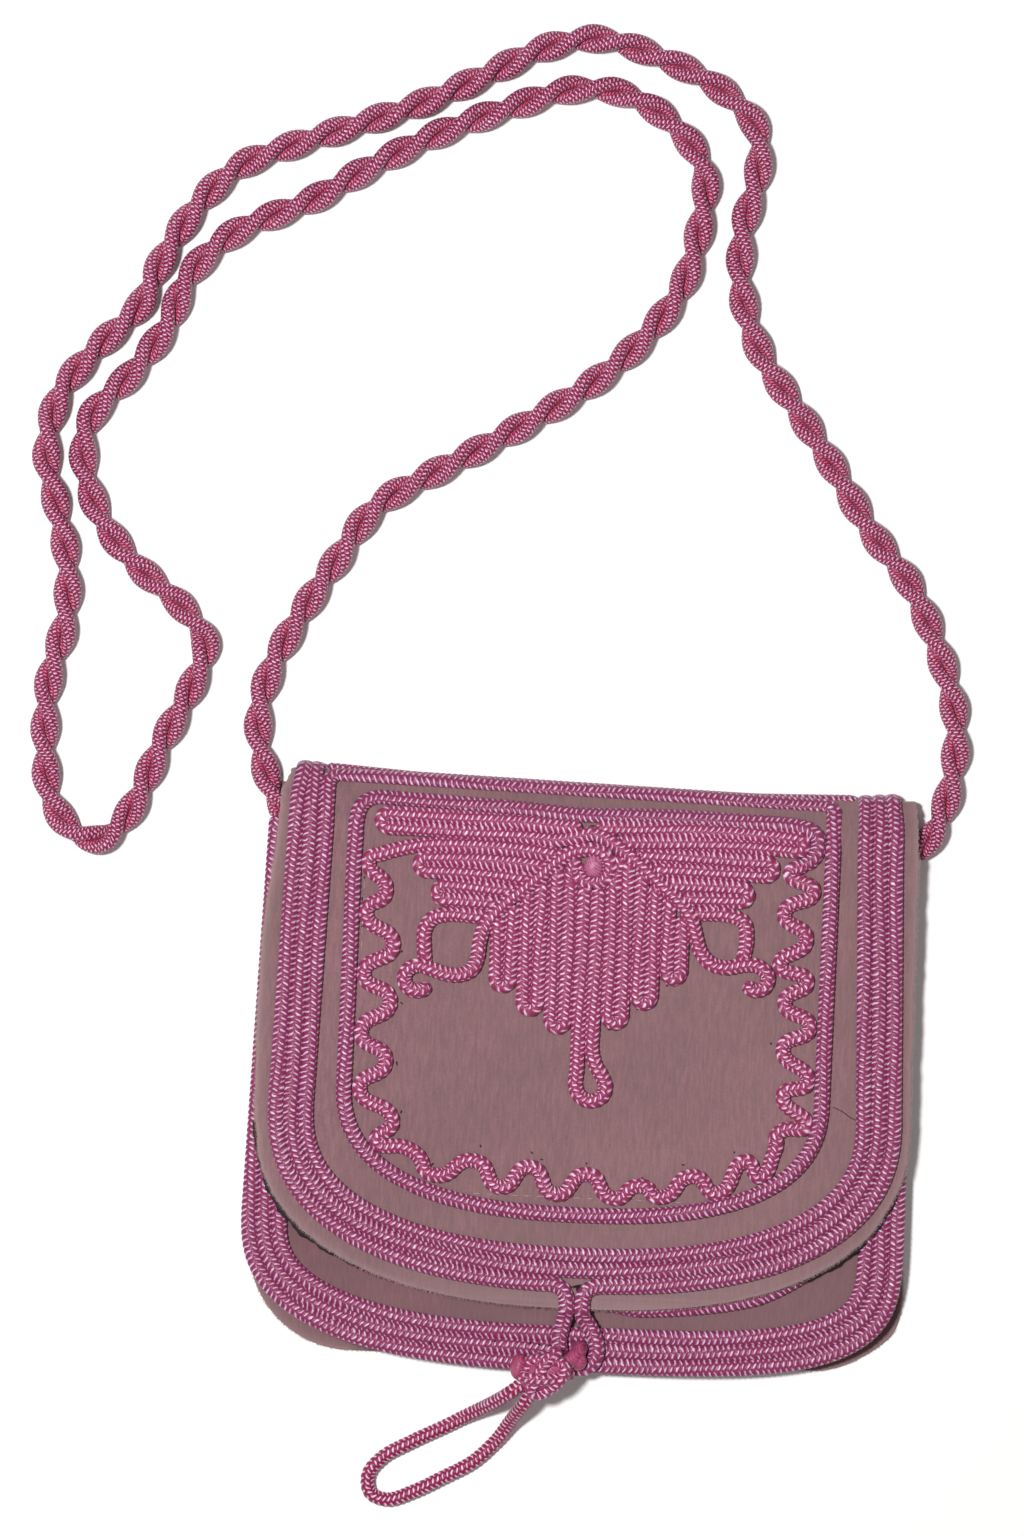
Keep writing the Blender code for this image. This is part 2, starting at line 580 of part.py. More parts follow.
def make_flap_panel(suede):
    """The flap: a sheet lofted from its rounded end to the slope beside the fold."""
    end = round_end(FLAP_SIDE_X, FLAP_ROUND_Y, FLAP_END_Y, FLAP_ROUNDNESS, 49)
    half = len(end) // 2
    levels = [(left[0], right[0], left[1]) for left, right in zip(end[half - 1::-1], end[half + 1:])]
    top_y = SPLIT_Y - GAP / 2
    for y in [*np.linspace(EASE_START_Y, EASE_END_Y, BEND_STEPS), top_y]:
        share = (y - FLAP_ROUND_Y) / (top_y - FLAP_ROUND_Y)
        levels.append((FLAP_SIDE_X[0] + share * (FLAP_TOP_X[0] - FLAP_SIDE_X[0]),
                       FLAP_SIDE_X[1] + share * (FLAP_TOP_X[1] - FLAP_SIDE_X[1]), y))
    rings = []
    for left, right, y in levels:
        outer_left, up = flap_face(left, y, 0)
        outer_right, up = flap_face(right, y, 0)
        rings.append([outer_left, outer_right, outer_right - SUEDE * up, outer_left - SUEDE * up])
    return solid("flap_panel", rings, suede, smooth_faces=False)


def make_top_fold(suede):
    """The bend of the suede between the back and the flap."""
    places = [flap_face(0, SPLIT_Y + GAP / 2, 0)]
    places += [fold_face(0, a, 0) for a in np.linspace(FOLD_TANGENT, -90, 13)]
    left, right = FLAP_TOP_X
    rings = []
    for point, up in places:
        inner = point - SUEDE * up
        shift = Vector((0, GAP / 2, 0)) if up.z < -0.999 else Vector((0, 0, 0))
        ring = [Vector((left, *point.yz)), Vector((right, *point.yz)),
                Vector((right, *inner.yz)), Vector((left, *inner.yz))]
        rings.append([p + shift for p in ring])
    solid("top_fold", rings, suede, smooth_faces=False)


def edge_row(inset):
    """A row of the flap's edge cords, from the left top to the right top."""
    top_y = SPLIT_Y - ROW_GAP / 2
    line = u_line((top_y, top_y), EDGE_TOP_X, EDGE_SIDE_X, FLAP_ROUND_Y, EDGE_END_Y, EDGE_ROUNDNESS)
    row = beside(line, inset)
    row[0, 1] = row[-1, 1] = top_y
    return row


def make_flap_edge_cords(cord):
    """Three rows along the flap's edge. The outer one turns down to the closure loop."""
    outer = edge_row(0)
    left_half = [p for p in outer if p[0] < LOOP_LEFT_TURN[0][0] - 3]
    right_half = [p for p in outer if p[0] > LOOP_RIGHT_TURN[0][0] + 3]
    left_turn = smooth([left_half[-1], *LOOP_LEFT_TURN])
    right_turn = smooth([right_half[0], *LOOP_RIGHT_TURN])
    rows = {
        "outer_left": np.vstack([left_half, left_turn[1:]]),
        "outer_right": np.vstack([right_turn[:0:-1], right_half]),
        "middle": edge_row(CORD_PITCH),
        "inner": edge_row(2 * CORD_PITCH),
    }
    return [sewn_on_flap(f"flap_edge_cord_{label}", row, CORD_WIDTH, cord) for label, row in rows.items()]


def make_fold_cords(cord):
    """The edge rows where they run over the fold, three at each side."""
    angles = np.linspace(FOLD_TANGENT, FOLD_CORD_END, 7)
    for side, x, step in (("left", EDGE_TOP_X[0], CORD_PITCH), ("right", EDGE_TOP_X[1], -CORD_PITCH)):
        for row, label in enumerate(("outer", "middle", "inner")):
            row_x = x + row * step
            places = [flap_face(row_x, SPLIT_Y + ROW_GAP / 2, GAP)]
            places += [fold_face(row_x, a, GAP) for a in angles]
            sewn_on_fold(f"fold_cord_{side}_{label}", places, cord)


def rolled_place(x, up_from_split):
    """A place at a distance above the split, measured over the fold at a cord's mid height."""
    reach = FOLD_RADIUS + GAP + CORD_HEIGHT / 2
    if up_from_split <= FOLD_MARGIN:
        return flap_face(x, SPLIT_Y + up_from_split * math.cos(SLOPE), GAP)
    return fold_face(x, FOLD_TANGENT - math.degrees((up_from_split - FOLD_MARGIN) / reach), GAP)


def make_top_cords(cord):
    """Two rows along the fold. The lower one turns down towards the frame cord."""
    left = EDGE_TOP_X[0] + 2 * CORD_PITCH + CORD_WIDTH / 2 + ROW_GAP
    right = EDGE_TOP_X[1] - 2 * CORD_PITCH - CORD_WIDTH / 2 - ROW_GAP
    lower, upper = TOP_CORD_ANGLES
    reach = FOLD_RADIUS + GAP + CORD_HEIGHT / 2
    level = FOLD_MARGIN + math.radians(FOLD_TANGENT - lower) * reach
    centre = (FRAME_TOP_X[1] - TOP_BEND_RADIUS, level - TOP_BEND_RADIUS)
    bend = turned(centre, TOP_BEND_RADIUS, 90, 0)
    route = [(left, level), *bend, (FRAME_TOP_X[1], ROW_GAP / 2)]
    places = [rolled_place(x, up) for x, up in route]
    sweep("top_cord_lower", places, cord_section(MOTIF_WIDTH, CORD_HEIGHT), cord)
    sewn_on_fold("top_cord_upper", [fold_face(x, upper, GAP) for x in (left, right)], cord)


def make_frame_cord(cord):
    """The frame: down the right side, round the lower end, up the left and across the top."""
    top_y = SPLIT_Y - ROW_GAP / 2
    tops = (FRAME_CORNER[0][1] - FRAME_CORNER_DROP, top_y)
    line = u_line(tops, FRAME_TOP_X, FRAME_SIDE_X, FRAME_ROUND_Y, FRAME_END_Y, FRAME_ROUNDNESS)
    across = smooth(FRAME_CORNER + FRAME_TURN)
    return sewn_on_flap("frame_cord", np.vstack([line[::-1], across]), MOTIF_WIDTH, cord)


def make_wave_cord(cord):
    """The wave inside the frame, with the row of the motif that it starts from."""
    turns = wave([WAVE_START[-1], *WAVE_TURNS], WAVE_START[-2], WAVE_LEAVES_TO)
    route = np.vstack([smooth(WAVE_START)[:-1], turns])
    return sewn_on_flap("wave_cord", route, MOTIF_WIDTH, cord)


def comb_route():
    """Runs side by side, joined by turns, with a drop-shaped loop in the middle."""
    r = COMB_PITCH / 2
    route = [(COMB_X, COMB_ENDS_Y[0])]
    for pair, low in enumerate(COMB_LOWER_Y):
        x = COMB_X + (2 * pair + 0.5) * COMB_PITCH
        if low is None:
            drop = [(x - r + dx, dy) for dx, dy in DROP_ROUTE]
            down = [(x - r, DROP_JOINS_Y), (x - r, DROP_TOP_Y)]
            up = [(x + r, DROP_TOP_Y + 1), (x + r, DROP_JOINS_Y)]
            route.extend(smooth([*down, *drop, *up]))
        else:
            route.extend(turned((x, low), r, 180, 360))
        if pair < len(COMB_UPPER_Y):
            route.extend(turned((x + COMB_PITCH, COMB_UPPER_Y[pair]), r, 180, 0))
    route.append((COMB_X + (2 * len(COMB_LOWER_Y) - 1) * COMB_PITCH, COMB_ENDS_Y[1]))
    return route


def make_motif(cord, satin):
    """Rows, arch, ring, squares and comb of the motif."""
    runs = {
        "arch_cord": rows_pair(ARCH_START, ARCH_ROUTE),
        "ring_cord": smooth(RING_ROUTE),
        "square_cord_left": smooth(LEFT_SQUARE_ROUTE),
        "square_cord_right": smooth(RIGHT_SQUARE_ROUTE),
        "rows_left_middle": rows_pair(*LEFT_MIDDLE_ROWS),
        "rows_left_lower": rows_pair(*LEFT_LOWER_ROWS),
        "rows_right_upper": rows_pair(*RIGHT_UPPER_ROWS),
        "rows_right_middle": rows_pair(*RIGHT_MIDDLE_ROWS),
        "rows_right_lower": rows_pair(*RIGHT_LOWER_ROWS),
        "comb_cord": comb_route(),
    }
    made = [sewn_on_flap(name, curve, MOTIF_WIDTH, cord) for name, curve in runs.items()]
    rings = []
    last = 360 - 360 / RING_BALL_SIDES
    for share in (1.0, 0.94, 0.75, 0.42):
        circle = turned(RING_BALL, RING_BALL_RADIUS * share, 0, last, RING_BALL_SIDES)
        rise = CORD_HEIGHT * math.sqrt(1 - share ** 2)
        rings.append([flap_face(x, y, GAP + rise)[0] for x, y in circle])
    return [*made, solid("ring_ball", rings, satin)]


def make_front_cords(cord):
    """Three rows along the front panel's edge, and its frame."""
    for row, label in enumerate(("outer", "middle", "inner")):
        sewn_on_front(f"front_edge_cord_{label}", front_edge(row * CORD_PITCH), cord)
    sides, round_y = FRONT_FRAME_X, FRONT_FRAME_ROUND_Y
    frame = u_line(MOUTH_Y, sides, sides, round_y, FRONT_FRAME_END_Y, FRAME_ROUNDNESS)
    sewn_on_front("front_frame_cord", frame, cord)


def make_closure_loop(cord):
    """The loop of cord that hangs from the flap and goes round the knot's stem."""
    low = FRONT_CORD_TOP + GAP
    places = []
    for x, y, rise in thin(smooth(LOOP_ROUTE)):
        places.append((Vector((x, y, low + rise * (FLAP_CORD_BASE - low))), Vector((0, 0, 1))))
    return sweep("closure_loop", places, cord_section(MOTIF_WIDTH, CORD_HEIGHT), cord)


def make_closure_knot(satin):
    """The ball knot with the stem that holds it: an oval section along a bent line."""
    centre = Vector((*BALL_CENTRE, FRONT_CORD_TOP + BALL_RISE))
    out = Vector((-math.cos(math.radians(BALL_TURN)), -math.sin(math.radians(BALL_TURN)), 0))
    side = Vector((out.y, -out.x, 0))
    length, half_width, half_height = BALL_HALF
    foot = Vector((*STEM_FOOT, FRONT_CORD_TOP + GAP))
    r = STEM_RADIUS
    neck = centre - out * (length - NECK_SINK)
    elbow = (foot + neck) / 2 + Vector((0.5, 0.4, 1.5))
    line = smooth([foot, foot + Vector((0, 0, STEM_RISE)), elbow, neck], 4)
    circle = [(math.cos(a), math.sin(a)) for a in np.linspace(0, 2 * math.pi, KNOT_SIDES, endpoint=False)]
    rings = []
    for i, point in enumerate(line[:-1]):
        here = Vector(point)
        along = (Vector(line[i + 1]) - here).normalized()
        across = side if i else Vector((0, 1, 0))
        across = (across - along * across.dot(along)).normalized()
        up = across.cross(along)
        rings.append([here + across * (r * c) + up * (r * s) for c, s in circle])
    up = side.cross(out)
    for reach in np.linspace(-NECK_SHARE, 0.985, 9):
        share = math.sqrt(1 - reach * reach)
        here = centre + out * (length * reach)
        wide, high = half_width * share, half_height * share
        rings.append([here + side * (wide * c) + up * (high * s) for c, s in circle])
    solid("closure_knot", rings, satin)


def make_pull_loop(cord):
    """The free loop of cord that hangs from the knot."""
    route = even_points(smooth(PULL_ROUTE), FREE_CORD_STEP * PULL_CORD)
    tube("pull_loop", route, PULL_CORD, np.ones(len(route)), cord, 2)


def make_strap(cord):
    """The strap as the outer shape of its two twisted cords, thinner at its sewn ends."""
    rope = 2 * STRAP_CORD
    left, right = BACK_SIDE_X
    start = [(left + inside, y) for inside, y in STRAP_START]
    finish = [(right - inside, y) for inside, y in STRAP_FINISH]
    flat = even_points(smooth([*start, *STRAP_ROUTE, *finish]), STRAP_STEP * rope)
    count = np.arange(len(flat))
    from_end = np.minimum(count, count[::-1])
    share = np.minimum(STRAP_END_SHARE + from_end * STRAP_TAPER, 1.0)
    rise = (BACK_TOP + GAP) * (from_end == 0)
    route = np.column_stack([flat, rope / 2 * share + rise])
    tube("strap_rope", route, rope, share, cord, 2)


def hang_on_fold(pieces):
    """Parent the flap's pieces to an empty on the axis that the flap turns on."""
    hinge = bpy.data.objects.new("flap_axis", None)
    hinge.location = to_frame((MIDDLE[0], FOLD_Y, FOLD_RADIUS))
    hinge.hide_render = True
    bpy.context.collection.objects.link(hinge)
    for piece in pieces:
        piece.parent = hinge
        piece.location = -hinge.location


def main():
    clear_scene()
    suede = material("suede", SUEDE_COLOUR, 0.9)
    cord = material("braided_cord", CORD_COLOUR, 0.45)
    satin = material("satin_knot", SATIN_COLOUR, 0.4)
    make_back_panel(suede)
    make_gusset(suede)
    make_front_panel(suede)
    make_front_cords(cord)
    make_top_fold(suede)
    make_fold_cords(cord)
    make_top_cords(cord)
    flap = [make_flap_panel(suede), *make_flap_edge_cords(cord), make_frame_cord(cord)]
    flap += [make_wave_cord(cord), *make_motif(cord, satin), make_closure_loop(cord)]
    hang_on_fold(flap)
    make_closure_knot(satin)
    make_pull_loop(cord)
    make_strap(cord)


main()
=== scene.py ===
# %% [markdown]
# An embroidered suede purse, seen from straight above. One sheet of suede makes
# the back, the fold and the flap. Braided cord is sewn down on it in rows, waves
# and loops, and a rope of two such cords is the strap. The frame holds the real
# sizes, and this script dresses each piece of it.

# %% Load the frame
import math

import bpy
import numpy as np
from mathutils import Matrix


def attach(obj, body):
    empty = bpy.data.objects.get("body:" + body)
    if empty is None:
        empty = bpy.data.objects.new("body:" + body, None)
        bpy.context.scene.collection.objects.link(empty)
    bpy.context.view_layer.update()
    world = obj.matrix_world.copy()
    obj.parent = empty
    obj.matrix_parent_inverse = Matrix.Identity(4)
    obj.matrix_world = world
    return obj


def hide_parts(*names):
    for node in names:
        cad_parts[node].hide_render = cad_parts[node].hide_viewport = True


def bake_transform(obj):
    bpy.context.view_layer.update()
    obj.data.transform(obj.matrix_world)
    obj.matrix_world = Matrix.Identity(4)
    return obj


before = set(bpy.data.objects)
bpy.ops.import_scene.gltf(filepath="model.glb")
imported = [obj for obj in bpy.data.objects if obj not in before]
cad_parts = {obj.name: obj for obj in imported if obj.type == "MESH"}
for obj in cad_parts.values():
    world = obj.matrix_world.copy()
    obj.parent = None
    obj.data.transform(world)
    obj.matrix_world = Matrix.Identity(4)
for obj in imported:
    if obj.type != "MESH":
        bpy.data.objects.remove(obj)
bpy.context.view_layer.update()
MM = 0.001
print("nodes in the frame:", len(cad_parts))

# %% [markdown]
# Places are measured in millimetres from the middle of the motif, as they were
# read off the real purse. One function moves them to the frame, in metres.

# %% Measured millimetres to frame metres
MIDDLE = np.array([-2.275, -4.81, 0.0])
SUEDE = 1.2
GAP = 0.3
POCKET = 4.8
CORD_HEIGHT = 2.6
FRONT_TOP = 2 * SUEDE + POCKET
FLAP_TOP = FRONT_TOP + GAP + CORD_HEIGHT + GAP + SUEDE
FOLD_RADIUS, FOLD_Y, SLOPE, SLOPE_EASE = 4.0, 72.9, math.radians(28), 12.0
print("the flap's outer face lies %.1f mm above the table" % FLAP_TOP)


def to_frame(points):
    """Points in measured millimetres as frame metres."""
    return (np.asarray(points, float) - MIDDLE) * MM


# %% [markdown]
# Most lines here go through a few given points. A curve in which each
# stretch leans on its neighbours joins them smoothly. Read again at an even spacing,
# it carries a pattern that neither bunches up nor stretches.

# %% Curves through points
def smooth(points, steps=16):
    """Centripetal Catmull-Rom curve: each stretch leans on its two neighbours."""
    p = np.asarray(points, float)
    p = np.vstack([2 * p[0] - p[1], p, 2 * p[-1] - p[-2]])
    k = np.concatenate([[0], np.cumsum(np.sqrt(np.linalg.norm(np.diff(p, axis=0), axis=1)))])
    k0, k1, k2, k3 = (k[i:len(k) - 3 + i, None, None] for i in range(4))
    p0, p1, p2, p3 = (p[i:len(p) - 3 + i, None, :] for i in range(4))
    t = k1 + (k2 - k1) * np.linspace(0, 1, steps, endpoint=False)[None, :, None]
    a1 = (k1 - t) / (k1 - k0) * p0 + (t - k0) / (k1 - k0) * p1
    a2 = (k2 - t) / (k2 - k1) * p1 + (t - k1) / (k2 - k1) * p2
    a3 = (k3 - t) / (k3 - k2) * p2 + (t - k2) / (k3 - k2) * p3
    b1 = (k2 - t) / (k2 - k0) * a1 + (t - k0) / (k2 - k0) * a2
    b2 = (k3 - t) / (k3 - k1) * a2 + (t - k1) / (k3 - k1) * a3
    curve = (k2 - t) / (k2 - k1) * b1 + (t - k1) / (k2 - k1) * b2
    return np.vstack([curve.reshape(-1, p.shape[1]), p[-2]])


def distances(path):
    """How far along the path each of its points lies."""
    return np.concatenate([[0], np.cumsum(np.linalg.norm(np.diff(path, axis=0), axis=1))])


def evenly(path, spacing, *others):
    """The path, and what goes with it, read again at an even spacing."""
    run = distances(path)
    wanted = np.linspace(0, run[-1], max(4, int(run[-1] / spacing) + 1))
    read = [np.column_stack([np.interp(wanted, run, c) for c in a.T]) for a in (path, *others)]
    return read if others else read[0]


def unit(vectors):
    """Each vector divided by its length."""
    return vectors / np.maximum(np.linalg.norm(vectors, axis=-1, keepdims=True), 1e-12)


print("a curve through 3 points has", len(smooth([(0, 0), (1, 1), (2, 0)])), "points")

# %% [markdown]
# The camera looks straight down from far away, turned by the small angle at which
# the purse lies. The photograph is 1024 by 1536 pixels and one pixel is 0.27 mm.

# %% Camera
PIXEL = 0.27
PICTURE = (1024, 1536)
PURSE_TURN = math.radians(2.6)
MOTIF_PIXEL = (590, 1070)
CAMERA_HEIGHT = 1500.0
SENSOR = 36.0
du, dv = (PICTURE[0] / 2 - MOTIF_PIXEL[0]) * PIXEL, (PICTURE[1] / 2 - MOTIF_PIXEL[1]) * PIXEL
cos_turn, sin_turn = math.cos(PURSE_TURN), math.sin(PURSE_TURN)
picture_middle = (du * cos_turn + dv * sin_turn, du * sin_turn - dv * cos_turn, CAMERA_HEIGHT)
lens = bpy.data.cameras.new("camera")
lens.sensor_fit = "VERTICAL"
lens.sensor_height = SENSOR
lens.lens = SENSOR * (CAMERA_HEIGHT - FLAP_TOP) / (PICTURE[1] * PIXEL)
lens.clip_end = 10
camera = bpy.data.objects.new("camera", lens)
camera.location = to_frame(picture_middle)
camera.rotation_euler = (0, 0, PURSE_TURN)
bpy.context.collection.objects.link(camera)
bpy.context.scene.camera = camera
print("lens %.1f mm" % lens.lens)

# %% [markdown]
# The suede is one sheet, so places on it are given by x and by w, the distance
# along the sheet. On the flat of the flap w is the same as y. Past that the sheet
# bends down, slopes, and turns over the fold to the back.

# %% The sheet's section
SHEET_STEP = 0.05
SAG_FADE = 25
fold_top = FOLD_RADIUS * (1 + math.cos(SLOPE))
EASE_W = FOLD_Y + FOLD_RADIUS * math.sin(SLOPE)
EASE_W -= (FLAP_TOP - fold_top) / math.tan(SLOPE) + SLOPE_EASE * math.tan(SLOPE / 2)
slope_length = (FLAP_TOP - SLOPE_EASE * (1 - math.cos(SLOPE)) - fold_top) / math.sin(SLOPE)
fold_w = EASE_W + SLOPE_EASE * SLOPE + slope_length
BACK_W = fold_w + FOLD_RADIUS * (math.pi - SLOPE)
sheet_w = np.arange(EASE_W - 160, BACK_W + 170, SHEET_STEP)
tilt = np.interp(sheet_w, [EASE_W, EASE_W + SLOPE_EASE * SLOPE, fold_w, BACK_W], [0, SLOPE, SLOPE, math.pi])
step_y, step_z = np.cos(tilt) * SHEET_STEP, -np.sin(tilt) * SHEET_STEP
start = np.searchsorted(sheet_w, EASE_W)
sheet_y = np.cumsum(step_y) - np.cumsum(step_y)[start] + EASE_W
sheet_z = np.cumsum(step_z) - np.cumsum(step_z)[start] + FLAP_TOP
outside = sheet_y.argmax()
SAG_X = [-90, -82, -50, 0, 40, 70, 84]
SAG_Y = [1.4, 1.2, -0.6, -1.6, -2.4, -1.6, -0.4]
print("fold: outermost y %.2f, back at z %.3f" % (sheet_y.max(), sheet_z[-1]))


def w_at(y):
    """The distance along the sheet at a y on the flap."""
    return np.interp(y, sheet_y[:outside], sheet_w[:outside])


def on_sheet(x, w, lift=0.0):
    """Points above the outer face of the sheet, and its outward directions.

    The section is read at w. The fold sags a little between its ends, which moves
    it in y, fading out over the slope and over the first of the back."""
    x, w, lift = np.broadcast_arrays(np.asarray(x, float), w, lift)
    bend = np.interp(w, sheet_w, tilt)
    out = np.stack([np.zeros_like(x), np.sin(bend), np.cos(bend)], -1)
    base = np.stack([x, np.interp(w, sheet_w, sheet_y), np.interp(w, sheet_w, sheet_z)], -1)
    share = np.interp(w, [EASE_W, fold_w, BACK_W, BACK_W + SAG_FADE], [0, 1, 1, 0])
    base[..., 1] += np.interp(x, SAG_X, SAG_Y) * share
    return base + out * lift[..., None], out


# %% [markdown]
# Couched cord is a braid about 4 mm wide. From above it shows thin slanted bright
# strokes down its middle, with strokes of the other slant along both edges. A
# shader can draw that from two numbers at each point: how far along the cord it is,
# and where it is round the section. The same formula pushes the mesh out, so that
# the outline is scalloped as the real one is. The braid also rolls a little to
# either side along its way, so that its middle column wanders.

# %% Braid formula
BRAID_PERIOD = 1.6
MIDDLE_SHARE = 0.31
MIDDLE_LEAN = 0.85
EDGE_LEAN = 0.62
VALLEY_WIDTH, VALLEY_DEPTH = 0.09, 0.5
BRAID_RISE = 0.22
ROLL = ((0.34, 11.0), (0.2, 29.0))


def braid_height(run, turn):
    """Height of the braid from 0 to 1: a rounded wave along the cord whose phase
    leans one way over the middle of the section and the other way at the edges,
    with a valley where the two meet. turn is 0 on top and 1 at the right edge."""
    side = np.sign(turn)
    reach = np.abs(turn)
    edge = side * (MIDDLE_LEAN * MIDDLE_SHARE - EDGE_LEAN * (reach - MIDDLE_SHARE)) + 0.5
    phase = run / BRAID_PERIOD + np.where(reach < MIDDLE_SHARE, MIDDLE_LEAN * turn, edge)
    valley = 1 - VALLEY_DEPTH * np.exp(-((reach - MIDDLE_SHARE) / VALLEY_WIDTH) ** 2)
    return (0.5 + 0.5 * np.cos(2 * np.pi * phase)) * valley


sample = braid_height(np.linspace(0, BRAID_PERIOD, 40)[:, None], np.linspace(-1, 1, 41)[None, :])
print("braid height: lowest %.2f, highest %.2f" % (sample.min(), sample.max()))

# %% [markdown]
# A cord, a sheet and a ball of thread are all rings of points, one after the other.
# So one function makes the mesh of each from its grid of points, and stores with
# every point three numbers that the materials read as an attribute.

# %% Meshes from grids of points
def new_piece(name, points, faces):
    """An object in the scene, from points in metres and faces as lists of them."""
    mesh = bpy.data.meshes.new(name)
    mesh.from_pydata(points.reshape(-1, 3).tolist(), [], faces)
    piece = bpy.data.objects.new(name, mesh)
    bpy.context.collection.objects.link(piece)
    return piece


def surface(name, points, attribute):
    """A mesh from a grid of points, rings by places round the ring, in metres.

    Neighbouring rings are joined by quads, and each end is closed by one face."""
    rings, count = points.shape[:2]
    ring, place = np.meshgrid(np.arange(rings - 1), np.arange(count), indexing="ij")
    corner, beside = ring * count + place, ring * count + (place + 1) % count
    faces = np.stack([corner, corner + count, beside + count, beside], -1).reshape(-1, 4).tolist()
    faces.append(list(range(count)))
    faces.append(list(range((rings - 1) * count, rings * count))[::-1])
    piece = new_piece(name, points, faces)
    layer = piece.data.attributes.new("run", "FLOAT_VECTOR", "POINT")
    layer.data.foreach_set("vector", attribute.reshape(-1, 3).astype(np.float32).ravel())
    piece.data.shade_smooth()
    return piece


made = {}
extras = []
print("pieces made so far:", len(made) + len(extras))

# %% [markdown]
# Sewn cord lies pressed into the nap, so its section is an oval that is flatter
# below. Where it turns tightly it crowds on the inner side, and its ends are bound
# off round. Free cord is round, and its braid is finer and has more columns.

# %% Braided cords
# shares of the cord's height, of its width, of a turn's radius and of the braid's rise
PRESSED = 0.35
END_ROUND = 0.35
TURN_ROOM = 0.92
FOLDED_RISE = 0.3


def cord_grid(path, ups, width, height, spacing=0.36, sides=16, round_below=0.35, fine=1.0, folds=0.0):
    """Rings of a braided cord round a path in millimetres, and their run attribute.

    The section is an oval, flatter below where round_below is less than a half. It
    is pushed out by the braid formula, drawn in on the inner side of a tight turn,
    and rounded off at both ends. The strokes stand closer together by the number
    fine. With folds the pattern swings to and fro round the section, which gives
    more and narrower columns, and the length of the stored direction tells how far
    a place faces the path's far side."""
    path, ups = evenly(np.asarray(path, float), spacing, np.asarray(ups, float))
    run = distances(path)
    ahead = unit(np.gradient(path, axis=0))
    side = unit(np.cross(ahead, ups))
    over = np.cross(side, ahead)
    angle = np.linspace(-np.pi / 2, 1.5 * np.pi, sides, endpoint=False)
    rolled = angle[None, :] + sum(a * np.sin(run / b + run[-1]) for a, b in ROLL)[:, None]
    if folds:
        swing = 2 * MIDDLE_SHARE * np.pi / 2
        unfolded = np.pi / 2 / swing * folds * (rolled - np.pi / 2)
        rolled = np.pi / 2 + 2 * swing / np.pi * np.arcsin(np.sin(unfolded))
    turn = np.arctan2(np.cos(rolled), np.sin(rolled)) / (np.pi / 2)
    rise = braid_height(run[:, None] * fine, turn) * (FOLDED_RISE if folds else 1.0)
    # On a folded ply size grows past 1 on the half that faces the other ply, where the free finish paints
    # shade as a crimson groove.
    size = 1 + (np.clip(-0.05 - 1.05 * np.sin(angle), 0, 1) if folds else 0 * angle)
    push = 1 + BRAID_RISE * (rise - 0.55) * 2 / width
    end = np.minimum(run, run[-1] - run)
    narrow = np.sqrt(np.clip(end / (END_ROUND * width) + 0.02, 0, 1))[:, None]
    across = np.cos(angle)[None, :] * width / 2 * push * narrow
    bend = np.einsum("ij,ij->i", np.gradient(ahead, axis=0) / spacing, side)[:, None]
    room = TURN_ROOM / np.maximum(np.abs(bend), 1e-6)
    across = np.where(across * bend > 0, np.clip(across, -room, room), across)
    lift = np.where(np.sin(angle) > 0, np.sin(angle), np.sin(angle) * round_below * 2)[None, :]
    lift = lift * height / 2 * push * narrow
    points = path[:, None] + across[..., None] * side[:, None] + lift[..., None] * over[:, None]
    along = np.broadcast_to(run[:, None] * fine, across.shape)
    values = np.stack([along, np.cos(rolled) * size, np.sin(rolled) * size], -1)
    return points, values


def couched(name, path, ups, width, nodes, body="flap", across_fold=False):
    """A cord sewn down along a path of points on the suede. The path is where the
    cord's lower face lies, and the cord is pressed a little into the nap there."""
    ups = unit(np.asarray(ups, float))
    middle = np.asarray(path, float) + ups * (CORD_HEIGHT * PRESSED)
    points, values = cord_grid(middle, ups, width, CORD_HEIGHT)
    piece = surface(name, to_frame(points), values)
    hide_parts(*nodes)
    made[name] = (piece, body, across_fold)


trial = cord_grid([(0, 0, 0), (9, 0, 0)], [(0, 0, 1), (0, 0, 1)], 4.0, CORD_HEIGHT)[0]
print("10 mm of cord has about %d points" % (trial.shape[0] * trial.shape[1] * 10 / 9))
